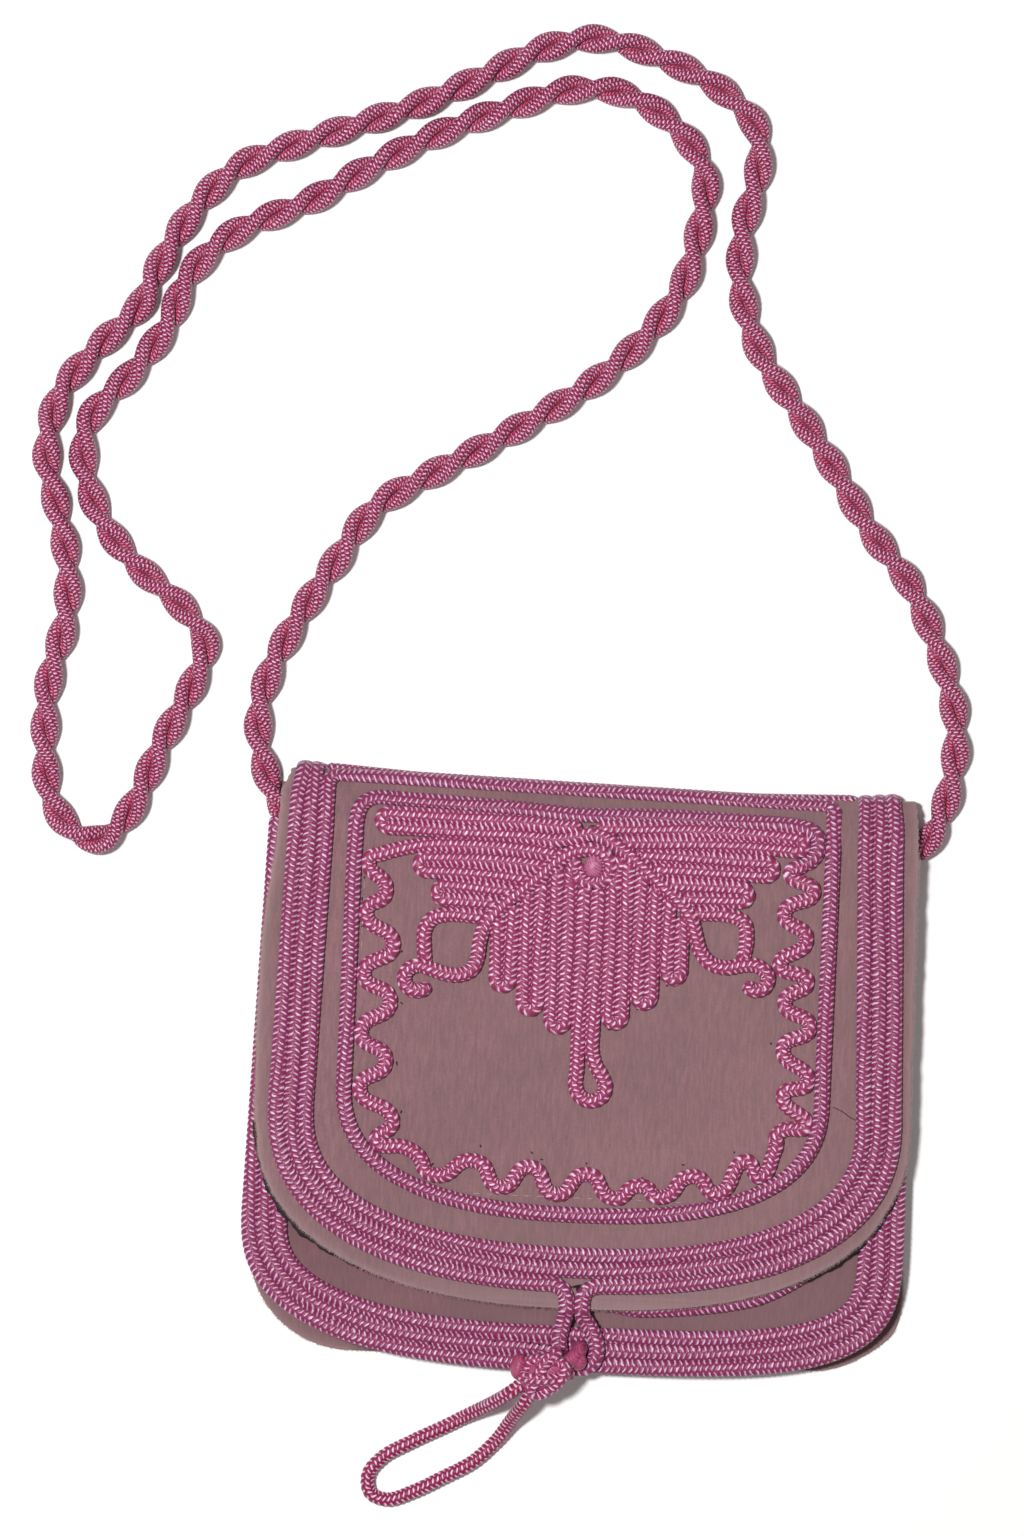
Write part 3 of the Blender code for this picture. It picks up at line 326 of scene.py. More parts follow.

# %% [markdown]
# Every route of the cords on the flap is a list of given points, in plan.
# Rows that come in pairs are joined by half a turn, and the wave crosses each of its
# turns along the line between the two beside it.

# %% Routes of the motif
ARCH_START = [(-5.0, 65.3), (-12.0, 65.4), (-20.0, 65.9), (-34.0, 66.4), (-48.0, 66.7), (-57.3, 66.7)]
ARCH_ROUTE = [
    (-57.3, 63.0), (-48.0, 63.0), (-34.0, 62.7), (-20.0, 62.2), (-12.0, 61.6), (-6.6, 62.6), (-2.2, 63.7),
    (2.0, 62.4), (6.0, 60.0), (10.0, 57.0), (14.0, 53.5), (18.0, 50.1), (22.0, 46.6), (25.2, 42.5),
    (26.7, 38.0), (28.2, 33.4), (31.2, 30.2), (35.5, 29.3), (40.0, 30.2), (43.9, 30.1), (46.8, 27.4),
    (45.8, 24.3), (42.6, 23.6), (40.8, 25.7),
]
RING_ROUTE = [
    (-44.6, 21.6), (-46.0, 19.8), (-48.8, 19.4), (-51.0, 21.3), (-50.8, 24.3), (-47.8, 26.2), (-44.2, 25.4),
    (-40.5, 24.3), (-36.5, 24.1), (-33.2, 25.7), (-31.8, 29.0), (-31.4, 33.0), (-30.4, 37.0), (-27.9, 40.8),
    (-24.6, 44.2), (-20.6, 47.6), (-16.6, 51.0), (-12.8, 54.6), (-9.2, 57.5), (-5.2, 59.2), (-1.5, 59.4),
    (1.8, 57.9), (2.9, 54.9), (1.8, 51.9), (-1.2, 50.5), (-4.3, 51.4), (-5.8, 53.9),
]
LEFT_SQUARE_ROUTE = [
    (-28.3, 40.1), (-33.2, 40.2), (-40.0, 40.3), (-44.4, 39.0), (-46.3, 35.8), (-46.3, 31.5), (-45.6, 25.8),
]
RIGHT_SQUARE_ROUTE = [(24.6, 43.4), (35.6, 43.4), (39.7, 41.6), (40.6, 37.0), (40.1, 32.8), (39.9, 30.2)]
LEFT_MIDDLE_ROWS = ([(-12.8, 54.4), (-24.0, 55.0), (-34.0, 55.3), (-46.6, 55.4)],
                    [(-46.6, 51.7), (-34.0, 51.6), (-28.0, 51.4), (-16.8, 50.9)])
LEFT_LOWER_ROWS = ([(-20.8, 47.4), (-32.0, 47.8), (-41.4, 48.0)],
                   [(-41.4, 44.3), (-36.0, 44.2), (-25.0, 43.7)])
RIGHT_UPPER_ROWS = ([(-1.2, 65.8), (12.0, 65.9), (25.0, 66.1), (45.0, 65.6), (53.0, 65.2)],
                    [(53.0, 61.5), (45.0, 61.9), (25.0, 62.4), (4.6, 61.8)])
RIGHT_MIDDLE_ROWS = ([(8.4, 58.2), (25.0, 58.6), (45.0, 58.1)],
                     [(45.0, 54.4), (25.0, 54.9), (12.8, 54.6)])
RIGHT_LOWER_ROWS = ([(17.0, 51.1), (30.0, 51.1), (38.6, 50.8)],
                    [(38.6, 47.2), (30.0, 47.4), (21.2, 47.3)])
FRAME_CORNER = [(-66.1, 60.0), (-66.0, 64.6), (-64.9, 68.2), (-61.8, 70.3), (-56.0, 70.7), (-34.0, 70.3),
                (-20.0, 69.8), (-8.0, 69.0), (0.0, 69.1), (8.0, 69.6), (25.0, 70.0), (45.0, 69.5),
                (51.5, 69.1)]
FRAME_TURN = [(56.0, 68.1), (58.5, 65.6), (58.8, 62.4), (57.6, 59.8), (54.8, 57.4)]
WAVE_START = [(-9.2, 57.7), (-20.0, 58.5), (-34.0, 59.0), (-46.0, 58.9), (-52.5, 57.8), (-57.6, 56.3)]
WAVE_TURNS = [
    (-62.2, 53.0), (-57.2, 46.0), (-62.2, 39.2), (-54.6, 31.4), (-62.2, 23.4), (-54.7, 16.0), (-62.2, 7.6),
    (-55.2, 0.0), (-61.9, -8.0), (-52.9, -15.2), (-56.6, -21.9), (-47.2, -23.8), (-40.4, -30.2),
    (-30.2, -25.8), (-22.9, -32.6), (-15.0, -26.8), (-7.9, -33.9), (0.3, -28.1), (7.4, -34.2), (14.5, -30.6),
    (21.2, -33.3),
    (28.6, -27.4), (36.2, -31.5), (42.3, -22.8), (47.2, -26.6), (50.7, -19.6), (51.9, -14.4), (58.9, -12.0),
    (52.3, -4.9), (58.9, 0.0), (51.7, 7.8), (58.7, 14.2), (51.6, 20.3), (57.4, 26.6), (49.8, 30.8),
    (56.7, 37.7), (50.4, 44.6), (58.1, 50.5), (51.6, 55.0), (56.2, 58.3),
]
WAVE_LEAVES_TO = (58.0, 60.0)
WAVE_ROUND = 1.9
COMB_X, COMB_PITCH = -26.6, 3.83
COMB_LOWER_Y = (23.6, 17.6, 13.1, None, 14.9, 20.6, 27.6)
COMB_UPPER_Y = (46.4, 53.2, 52.0, 51.4, 55.6, 49.2)
COMB_ENDS_Y = (42.0, 43.0)
COMB_FILLERS = {"right": [(4.0, 48.0), (4.6, 53.0), (5.8, 58.6)],
                "left": [(-7.6, 48.0), (-7.6, 53.0), (-6.4, 58.0)]}
DROP_ROUTE = [(0.0, 0.0), (-0.15, -4.4), (1.3, -7.3), (4.2, -8.3), (7.1, -6.9), (7.9, -4.1), (6.6, -1.1),
              (4.9, 1.6)]
DROP_TOP_Y = 4.5
MOTIF_WIDTH = 4.05
print("the wave has", len(WAVE_TURNS), "turns and the comb", 2 * len(COMB_LOWER_Y), "runs")

# %% [markdown]
# The routes become lines: pairs of rows get their half turn, the wave its cubic
# stretches, and the comb its runs, its turns and the drop. A line in plan is then
# laid on the flap. Where a cord goes below the arch or the ring it is tucked down.

# %% Lines of the motif
def arc(centre, radius, start, end, steps=24):
    """Points of an arc in plan, angles in degrees."""
    a = np.radians(np.linspace(start, end, steps))
    return np.column_stack([centre[0] + radius * np.cos(a), centre[1] + radius * np.sin(a)])


def rows_pair(upper, lower):
    """Two rows joined by a half turn at their outer end."""
    radius = (upper[-1][1] - lower[0][1]) / 2
    swing = 180 if upper[-1][0] > upper[0][0] else -180
    half_turn = arc((upper[-1][0], upper[-1][1] - radius), radius, 90, 90 - swing)
    return np.vstack([smooth(upper)[:-1], half_turn, smooth(lower)[1:]])


def wave_line(turns, before, after, steps=20):
    """Cubic stretches between the turns. The direction at a turn is that of the
    line between its two neighbours, lengthened so that the turns are round."""
    p = np.array([before, *turns, after], float)
    lean = WAVE_ROUND * (p[2:] - p[:-2]) / 2
    t = np.linspace(0, 1, steps, endpoint=False)[None, :, None]
    a, b, m0, m1 = p[1:-2, None], p[2:-1, None], lean[:-1, None], lean[1:, None]
    line = (2 * t ** 3 - 3 * t ** 2 + 1) * a + (t ** 3 - 2 * t ** 2 + t) * m0
    line = line + (3 * t ** 2 - 2 * t ** 3) * b + (t ** 3 - t ** 2) * m1
    return np.vstack([line.reshape(-1, 2), p[-2]])


def comb_line():
    """Runs side by side, joined by turns, with a drop-shaped loop in the middle."""
    r = COMB_PITCH / 2
    line = [(COMB_X, COMB_ENDS_Y[0])]
    for pair, low in enumerate(COMB_LOWER_Y):
        x = COMB_X + (2 * pair + 0.5) * COMB_PITCH
        if low is None:
            drop = [(x - r + dx, dy) for dx, dy in DROP_ROUTE]
            rims = [(x - r, 12.0), (x - r, DROP_TOP_Y)], [(x + r, DROP_TOP_Y + 1), (x + r, 12.0)]
            line.extend(smooth([*rims[0], *drop, *rims[1]]))
        else:
            line.extend(arc((x, low), r, 180, 360))
        if pair < len(COMB_UPPER_Y):
            line.extend(arc((x + COMB_PITCH, COMB_UPPER_Y[pair]), r, 180, 0))
    line.append((COMB_X + (2 * len(COMB_LOWER_Y) - 1) * COMB_PITCH, COMB_ENDS_Y[1]))
    return np.array(line)


def over_flap(plan):
    """A plan line laid on the flap: points of its lower face and the directions up."""
    plan = evenly(np.asarray(plan, float), 0.5)
    return on_sheet(plan[:, 0], w_at(plan[:, 1]))


def tucked(path, ups, over, depth=1.0, reach=3.3):
    """A path lowered where it meets the cords that lie over it. The closer a point
    is to the nearest of their points in plan, the deeper it goes."""
    gap = np.linalg.norm(path[:, None, :2] - over[None, :, :2], axis=2).min(axis=1)
    share = np.clip(1 - gap / reach, 0, 1)
    return path - ups * (depth * share * share * (3 - 2 * share))[:, None], ups


wave_turned = wave_line([WAVE_START[-1], *WAVE_TURNS], WAVE_START[-2], WAVE_LEAVES_TO)
motif = {
    "arch_cord": rows_pair(ARCH_START, ARCH_ROUTE),
    "ring_cord": smooth(RING_ROUTE),
    "square_cord_left": smooth(LEFT_SQUARE_ROUTE),
    "square_cord_right": smooth(RIGHT_SQUARE_ROUTE),
    "rows_left_middle": rows_pair(*LEFT_MIDDLE_ROWS),
    "rows_left_lower": rows_pair(*LEFT_LOWER_ROWS),
    "rows_right_upper": rows_pair(*RIGHT_UPPER_ROWS),
    "rows_right_middle": rows_pair(*RIGHT_MIDDLE_ROWS),
    "rows_right_lower": rows_pair(*RIGHT_LOWER_ROWS),
    "comb_cord": comb_line(),
    "wave_cord": np.vstack([smooth(WAVE_START)[:-1], wave_turned]),
}
OVER_LIFT = 0.3
over_cords = np.vstack([evenly(smooth(ARCH_ROUTE[4:]), 0.8), evenly(smooth(RING_ROUTE), 0.8)])
for node, plan in motif.items():
    path, ups = over_flap(plan)
    if node in ("arch_cord", "ring_cord"):
        path = path + ups * OVER_LIFT
    else:
        path, ups = tucked(path, ups, over_cords)
    couched(node + "_braid", path, ups, MOTIF_WIDTH, [node])
for side_name, plan in COMB_FILLERS.items():
    path, ups = tucked(*over_flap(plan), over_cords)
    couched(f"comb_filler_{side_name}_braid", path, ups, MOTIF_WIDTH, ["comb_cord"])
print("motif cords:", len(motif), "total mm: %d" % sum(distances(p)[-1] for p in motif.values()))

# %% [markdown]
# Rows along an edge follow a line that runs down one side, round a rounded end and
# up the other side. The end is half of a superellipse. The rows of the flap go on
# over the fold, so each is one cord that bends where the flap turns. The inner row
# turns inwards at the top left, runs along the fold and goes on as the frame.

# %% Rounded ends and edge lines
EDGE_TOP_X, EDGE_SIDE_X, EDGE_END_Y, ROUND_Y = (-82.3, 79.7), (-84.3, 82.6), -58.1, -12.0
FRAME_SIDE_X, FRAME_END_Y, FRAME_ROUND_Y = (-66.2, 62.85), -39.2, -6.0
FLAP_POWER, EDGE_POWER, FRAME_POWER = (2.45, 2.45), (2.45, 2.36), (2.5, 2.5)
EDGE_PITCH = 4.05
EDGE_WIDTH, FRAME_WIDTH = 4.35, 4.25
FOLD_CORD_END_W = BACK_W - FOLD_RADIUS * math.radians(66)
LOOP_LEFT_TURN = [(-7.6, -58.1), (-4.7, -59.4), (-3.6, -61.8), (-3.45, -64.2)]
LOOP_RIGHT_TURN = [(4.7, -58.2), (1.8, -59.5), (0.8, -61.8), (0.75, -64.2)]
LOOP_ROUTE = [
    (-3.45, -64.9, 1.0), (-3.6, -66.5, 0.5), (-4.3, -69.5, 0.03), (-4.9, -73.0, 0.0), (-4.3, -77.2, 0.0),
    (-2.0, -79.9, 0.0), (1.4, -80.7, 0.0), (4.3, -79.0, 0.0), (5.3, -75.6, 0.0), (4.5, -72.0, 0.0),
    (2.6, -68.6, 0.07), (1.1, -66.5, 0.5), (0.75, -64.9, 1.0),
]
EDGE_LEAN_W, EDGE_LEAN_X = [64, 70, 76, 82], [0, 0.3, 1.2, 1.9]
RIGHT_LEAN = -0.6
LEAN_FADES_OVER = 7


def round_end(side_x, round_y, end_y, powers, steps=181):
    """Half of a superellipse, from the left side round the lower end to the right.
    The left and the right corner have a power each: the higher, the fuller."""
    a = np.linspace(math.pi, 2 * math.pi, steps)
    c, s = np.cos(a), np.sin(a)
    power = np.where(c < 0, *powers)
    middle, half = sum(side_x) / 2, (side_x[1] - side_x[0]) / 2
    x = middle + half * np.sign(c) * np.abs(c) ** (2 / power)
    return np.column_stack([x, round_y + (round_y - end_y) * np.sign(s) * np.abs(s) ** (2 / power)])


def u_line(top_y, top_x, side_x, round_y, end_y, power, inset=0.0):
    """Down the left side, round the end and up the right side, moved inwards."""
    left_top, right_top = zip(top_x, top_y)
    line = np.vstack([[left_top], round_end(side_x, round_y, end_y, power), [right_top]])
    ahead = unit(np.gradient(line, axis=0))
    return line + inset * np.column_stack([-ahead[:, 1], ahead[:, 0]])


def edge_row(inset):
    """A row of the flap in x and w, from behind the fold on the left to the right.
    The outer rows lean in a little towards the fold."""
    line = u_line((60, 60), EDGE_TOP_X, EDGE_SIDE_X, ROUND_Y, EDGE_END_Y, EDGE_POWER, inset)
    w = np.linspace(FOLD_CORD_END_W, 62, 60)
    lean = np.interp(w, EDGE_LEAN_W, EDGE_LEAN_X) * max(0.0, 1 - inset / LEAN_FADES_OVER)
    ends = [np.column_stack([line[i, 0] + sign * lean, w]) for i, sign in ((0, 1), (-1, RIGHT_LEAN))]
    return np.vstack([ends[0], evenly(line[1:-1], 1.0), ends[1][::-1]])


print("the outer row and its ends have", len(edge_row(0)), "points")

# %% [markdown]
# The outer row stops short of the middle on both sides. There its two parts turn
# down past the edge and are joined by the closure loop, which lies on the front.

# %% Outer and middle row with the closure loop
outer = edge_row(0)
low_outer = outer[:, 1] < 0
left_half = outer[:np.argmax((outer[:, 0] > LOOP_LEFT_TURN[0][0] - 3) & low_outer)]
before_turn = (outer[:, 0] < LOOP_RIGHT_TURN[0][0] + 3) & low_outer
right_half = outer[::-1][:np.argmax(before_turn[::-1])][::-1]
left_half = np.vstack([left_half, smooth([left_half[-1], *LOOP_LEFT_TURN])[1:]])
right_half = np.vstack([smooth([right_half[0], *LOOP_RIGHT_TURN])[:0:-1], right_half])
loop = smooth(LOOP_ROUTE)
low_z = FRONT_TOP + CORD_HEIGHT
loop[:, 2] = low_z + np.clip(loop[:, 2], 0, 1) * (FLAP_TOP - low_z)
left_points, left_ups = on_sheet(left_half[:, 0], left_half[:, 1])
right_points, right_ups = on_sheet(right_half[:, 0], right_half[:, 1])
outer_path = np.vstack([left_points, loop, right_points])
outer_ups = np.vstack([left_ups, np.tile([0.0, 0.0, 1.0], (len(loop), 1)), right_ups])
couched("edge_cord_outer_braid", outer_path, outer_ups, EDGE_WIDTH,
        ["flap_edge_cord_outer_left", "flap_edge_cord_outer_right", "closure_loop",
         "fold_cord_left_outer", "fold_cord_right_outer"], across_fold=True)
middle_row = edge_row(EDGE_PITCH)
couched("edge_cord_middle_braid", *on_sheet(middle_row[:, 0], middle_row[:, 1]), EDGE_WIDTH,
        ["flap_edge_cord_middle", "fold_cord_left_middle", "fold_cord_right_middle"], across_fold=True)
print("outer row with its loop: %.0f mm" % distances(outer_path)[-1])

# %% [markdown]
# The inner row, the lower cord along the fold and the frame are one cord, as on the
# real purse. The upper cord along the fold lies close beside it.

# %% Inner row, frame and the cords along the fold
frame_line = u_line((52, 62), FRAME_SIDE_X, FRAME_SIDE_X, FRAME_ROUND_Y, FRAME_END_Y, FRAME_POWER)
frame_top = smooth(FRAME_CORNER + FRAME_TURN)
TOP_LEFT_X, TOP_RIGHT_X, TOP_TURN = -75.2, 69.4, 3.1
TOP_LOWER_W, TOP_UPPER_W, TOP_BEND = fold_w + 0.9, fold_w + 4.0, 2.5
top_bend = arc((FRAME_SIDE_X[1] - TOP_BEND, 0), TOP_BEND, 90, 0)
top_bend[:, 1] += TOP_LOWER_W - TOP_BEND
inner_row = edge_row(2 * EDGE_PITCH)
inner_row = inner_row[np.argmax(inner_row[:, 1] < TOP_LOWER_W - TOP_TURN):]
top_turn = arc((inner_row[0, 0] + TOP_TURN, TOP_LOWER_W - TOP_TURN), TOP_TURN, 90, 180)
frame_plan = np.vstack([frame_top[::-1], evenly(frame_line, 1.0)])
frame_xw = np.column_stack([frame_plan[:, 0], w_at(frame_plan[:, 1])])
frame_xw = np.vstack([frame_xw, top_bend[::-1], top_turn, inner_row[1:]])
couched("frame_and_inner_row_braid", *on_sheet(frame_xw[:, 0], frame_xw[:, 1]), FRAME_WIDTH,
        ["frame_cord", "top_cord_lower", "flap_edge_cord_inner", "fold_cord_left_inner",
         "fold_cord_right_inner"], across_fold=True)
top_x = np.linspace(TOP_LEFT_X, TOP_RIGHT_X, 60)
couched("top_cord_upper_braid", *on_sheet(top_x, np.full(60, TOP_UPPER_W)), MOTIF_WIDTH,
        ["top_cord_upper"], across_fold=True)
print("inner row with the frame: %.0f mm" % distances(frame_xw)[-1])

# %% [markdown]
# The front rows lie on the pocket's front and show below the flap. The frame of the
# front sinks a little on the right, so that it peeks out below the flap there.

# %% Front rows
MOUTH_Y, FRONT_TOP_X, FRONT_SIDE_X = (65.0, 60.0), (-87.6, 83.8), (-90.3, 85.0)
FRONT_ROUND_Y, FRONT_END_Y, FRONT_POWER = -42.0, -80.0, (2.7, 3.7)
FRONT_FRAME_X, FRONT_FRAME_ROUND_Y, FRONT_FRAME_END_Y = (-75.0, 71.0), -35.0, -62.3
FRONT_FRAME_SINKS, SINKS_AT_X = 2.4, ([2, 16, 48, 64], [0, 1, 1, 0])


def front_row(inset):
    """A row along the front's edge, moved inwards."""
    return u_line(MOUTH_Y, FRONT_TOP_X, FRONT_SIDE_X, FRONT_ROUND_Y, FRONT_END_Y, FRONT_POWER, inset)


front_lines = {"front_edge_cord_" + label: front_row(row * EDGE_PITCH)
               for row, label in enumerate(("outer", "middle", "inner"))}
front_lines["front_frame_cord"] = u_line(MOUTH_Y, FRONT_FRAME_X, FRONT_FRAME_X, FRONT_FRAME_ROUND_Y,
                                         FRONT_FRAME_END_Y, FRAME_POWER)
low_line = front_lines["front_frame_cord"]
low_line[:, 1] -= FRONT_FRAME_SINKS * np.interp(low_line[:, 0], *SINKS_AT_X) * (low_line[:, 1] < -30)
for node, line in front_lines.items():
    path = np.column_stack([line, np.full(len(line), FRONT_TOP)])
    couched(node + "_braid", path, np.tile([0.0, 0.0, 1.0], (len(path), 1)), EDGE_WIDTH, [node], "bag")
print("front rows:", len(front_lines))

# %% [markdown]
# The suede pieces are flat sheets with rounded, fuzzy cut edges. Each is lofted: at
# each level across the piece the ring goes over the outer face from left to right,
# round the cut edge, and back under. An attribute marks what lies near a cut edge.

# %% Suede sheets
ACROSS = 60
EDGE_STEPS = np.array([0.0, 0.25, 0.6, 1.1, 1.8, 3.0])
END_THIN = np.array([0.25, 0.7, 0.95])
NEAR_FADE, WIDE_FADE, UNDER_FADE = 0.7, 5.0, 4.5


def sheet_rings(left, right, place, ends=(True, True)):
    """Rings of a sheet. left and right are the edges at each level, and place(x,
    lift) gives the points of all levels. Points lie close together beside both
    edges, and the inner ones are spread from the left over the first level's width.
    The cut edge is rounded off, and the levels next to an open end get thinner."""
    half = (right - left) / 2
    steps = EDGE_STEPS[None, :] * np.minimum(1, half / 12)[:, None]
    share = np.linspace(0, 1, ACROSS)[None, 1:-1]
    inner = left[:, None] + steps[:, -1:] + share * (2 * half[0] - 2 * steps[:, -1:])
    x = np.hstack([left[:, None] + steps, inner, (right[:, None] - steps)[:, ::-1]])
    thin = np.ones(len(left))
    if ends[0]:
        thin[:3] = END_THIN
    if ends[1]:
        thin[-3:] = END_THIN[::-1]
    round_off = np.ones(x.shape[1])
    round_off[[0, -1]] = 0.35
    round_off[[1, -2]] = 0.85
    up = SUEDE / 2 * (thin[:, None] * round_off[None, :])
    rings_x = np.hstack([x, x[:, ::-1]])
    rings_lift = np.hstack([up, -up[:, ::-1]]) - SUEDE / 2
    return place(rings_x, rings_lift)


def suede_piece(name, left, right, place, nodes, body, outline, ends=(True, True), across_fold=False,
                under=None):
    """A suede sheet and its attribute: x is 1 on the cut edge and fades at once, y fades
    over some millimetres, and z is the shade. under holds a line in plan, the shade
    everywhere and the shade that is added below the line."""
    points = sheet_rings(left, right, place, ends)
    flat = points.reshape(-1, 3)
    away = np.full(len(flat), 1e9)
    for piece_of_outline in np.array_split(outline, max(1, len(outline) // 60)):
        gap = np.linalg.norm(flat[:, None, :] - piece_of_outline[None, :, :], axis=2).min(axis=1)
        away = np.minimum(away, gap)
    away = away.reshape(points.shape[:2])
    near, wide = np.exp(-np.maximum(away - 0.5, 0) / NEAR_FADE), np.exp(-away / WIDE_FADE)
    shade = np.zeros_like(near)
    if under is not None:
        line, everywhere, added = under
        below = [np.linalg.norm(ring[:, None, :2] - line[None], axis=2).min(axis=1) for ring in points]
        shade = everywhere + added * np.exp(-np.array(below) / UNDER_FADE)
    values = np.stack([near, wide, shade], -1)
    piece = surface(name, to_frame(points), values)
    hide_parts(*nodes)
    made[name] = (piece, body, across_fold)
    print("%s: %d rings of %d points" % (name, *points.shape[:2]))


def two_sides(end):
    """The left and the right half of a rounded end, each from its lowest point up."""
    half = len(end) // 2
    return end[:half][::-1], end[half + 1:]


def place_on(levels):
    """Lay rings of x and lift on the sheet at the levels."""
    return lambda x, lift: on_sheet(x, levels[:, None], lift)[0]


def cut_edges(left, right, w):
    """Both cut edges of a piece of the sheet, at the middle of its thickness."""
    return np.vstack([on_sheet(edge, w, -SUEDE / 2)[0] for edge in (left, right)])


# %% [markdown]
# The flap's sides swell and draw in a little and its cut is ragged by a sum of
# waves. Its mesh goes on over the fold and bends there as one piece.

# %% Flap and fold
FLAP_TOP_X, FLAP_SIDE_X, FLAP_END_Y = (-87.0, 84.6), (-90.2, 86.3), -64.6
FLAP_SIDE_ENDS = 20
LEFT_SWELL = ([-30, -21, -12, 8, 30, 54, 72, fold_w, BACK_W], [0, 0.6, 0, -1.0, -1.6, -0.4, 0.3, 2.2, 3.8])
RIGHT_SWELL = ([-40, -20, -8, 20, 60, fold_w, BACK_W], [0.3, 0.9, 0.7, 1.0, 1.5, 1.0, 0.0])
flap_end = round_end(FLAP_SIDE_X, ROUND_Y, FLAP_END_Y, FLAP_POWER, 121)
end_left, end_right = two_sides(flap_end)
upper_w = np.concatenate([np.arange(ROUND_Y + 3, EASE_W, 3.0), np.arange(EASE_W, BACK_W - 0.4, 0.6),
                          [BACK_W]])
side_end = BACK_W - FLAP_SIDE_ENDS
share = (np.minimum(upper_w, side_end) - ROUND_Y) / (side_end - ROUND_Y)
flap_w = np.concatenate([end_left[:, 1], upper_w])
flap_left = np.concatenate([end_left[:, 0], FLAP_SIDE_X[0] + share * (FLAP_TOP_X[0] - FLAP_SIDE_X[0])])
flap_right = np.concatenate([end_right[:, 0], FLAP_SIDE_X[1] + share * (FLAP_TOP_X[1] - FLAP_SIDE_X[1])])
ragged = 0.14 * np.sin(flap_w * 1.9) + 0.10 * np.sin(flap_w * 4.3 + 1) + 0.08 * np.sin(flap_w * 7.7 + 2)
flap_left = flap_left + np.interp(flap_w, *LEFT_SWELL) + ragged
flap_right = flap_right + np.interp(flap_w, *RIGHT_SWELL) + ragged[::-1]
suede_piece("flap_suede", flap_left, flap_right, place_on(flap_w), ["flap_panel", "top_fold"], "flap",
            cut_edges(flap_left, flap_right, flap_w), ends=(True, False), across_fold=True)

# %% [markdown]
# The back is the rest of the same sheet. It shows only as slivers past the front,
# so its outline follows those: its lower corners are round, and it swells there.
# Painted shade darkens it next to the front's outer row.

# %% Back
BACK_SIDE_X, BACK_END_Y, BACK_CORNERS = (-90.3, 87.2), -79.5, (28.0, 24.0)
BACK_LEFT_SWELL = ([50, 60, 68, 73], [0, 1.2, 2.3, 2.3])
BACK_RIGHT_SWELL = ([-79.5, -75.5, -69, -60, -48], [0, 0.4, 2.3, 1.1, 0])
# Painted shade on the back, added next to the front's outer row.
BACK_SHADE_ADDED = 1.2
corner_y = BACK_CORNERS[0] * (1 - np.cos(np.linspace(0, np.pi / 2, 28)))
back_y = BACK_END_Y + np.concatenate([corner_y, np.linspace(BACK_CORNERS[0] + 2, FOLD_Y - BACK_END_Y, 70)])
rise = np.clip((back_y - BACK_END_Y - BACK_CORNERS[0]) / (FOLD_Y - BACK_END_Y - BACK_CORNERS[0]), 0, 1)
into_corner = [np.clip(BACK_END_Y + r - back_y, 0, r) for r in BACK_CORNERS]
back_in = [r - np.sqrt(np.clip(r * r - c ** 2, 0, None)) for r, c in zip(BACK_CORNERS, into_corner)]
back_left = BACK_SIDE_X[0] + back_in[0] + rise * (FLAP_TOP_X[0] - BACK_SIDE_X[0])
back_right = BACK_SIDE_X[1] - back_in[1] + rise * (FLAP_TOP_X[1] - BACK_SIDE_X[1])
back_left = back_left - np.interp(back_y, *BACK_LEFT_SWELL)
back_right = back_right + np.interp(back_y, *BACK_RIGHT_SWELL)
back_w = BACK_W + FOLD_Y - back_y
suede_piece("back_suede", back_left, back_right, place_on(back_w), ["back_panel"], "bag",
            cut_edges(back_left, back_right, back_w), ends=(True, False),
            under=(evenly(front_row(0), 1.5), 0.0, BACK_SHADE_ADDED))

# %% [markdown]
# The front reaches a little past its outer row. Painted shade darkens all of it, and
# more so below the flap's edge.
# A strip of suede, four corners carried along the front's edge, joins it to the back.

# %% Front and gusset
FRONT_OVER = 1.1
FRONT_REACH_Y = 62.0
FRONT_LEAN = (2.7, -1.4)
# Painted shade on the front: some everywhere, and more added below the flap's edge.
FRONT_SHADE = (0.75, 1.0)
front_end = round_end((FRONT_SIDE_X[0] - FRONT_OVER, FRONT_SIDE_X[1] + FRONT_OVER), FRONT_ROUND_Y,
                      FRONT_END_Y - FRONT_OVER, FRONT_POWER, 121)
end_left, end_right = two_sides(front_end)
front_rise = np.linspace(0, 1, 50)[1:]
front_left = np.concatenate([end_left[:, 0], front_end[0, 0] + front_rise * FRONT_LEAN[0]])
front_right = np.concatenate([end_right[:, 0], front_end[-1, 0] + front_rise * FRONT_LEAN[1]])
front_y = np.concatenate([end_left[:, 1], FRONT_ROUND_Y + front_rise * (FRONT_REACH_Y - FRONT_ROUND_Y)])


def on_front(x, lift):
    """Rings laid flat at the height of the pocket's front."""
    return np.stack([x, np.broadcast_to(front_y[:, None], x.shape), FRONT_TOP + lift], -1)


front_outline = np.vstack([np.column_stack([e, front_y, np.full(len(e), FRONT_TOP - SUEDE / 2)])
                           for e in (front_left, front_right)])
suede_piece("front_suede", front_left, front_right, on_front, ["front_panel"], "bag", front_outline,
            under=(evenly(flap_end, 1.5), *FRONT_SHADE))

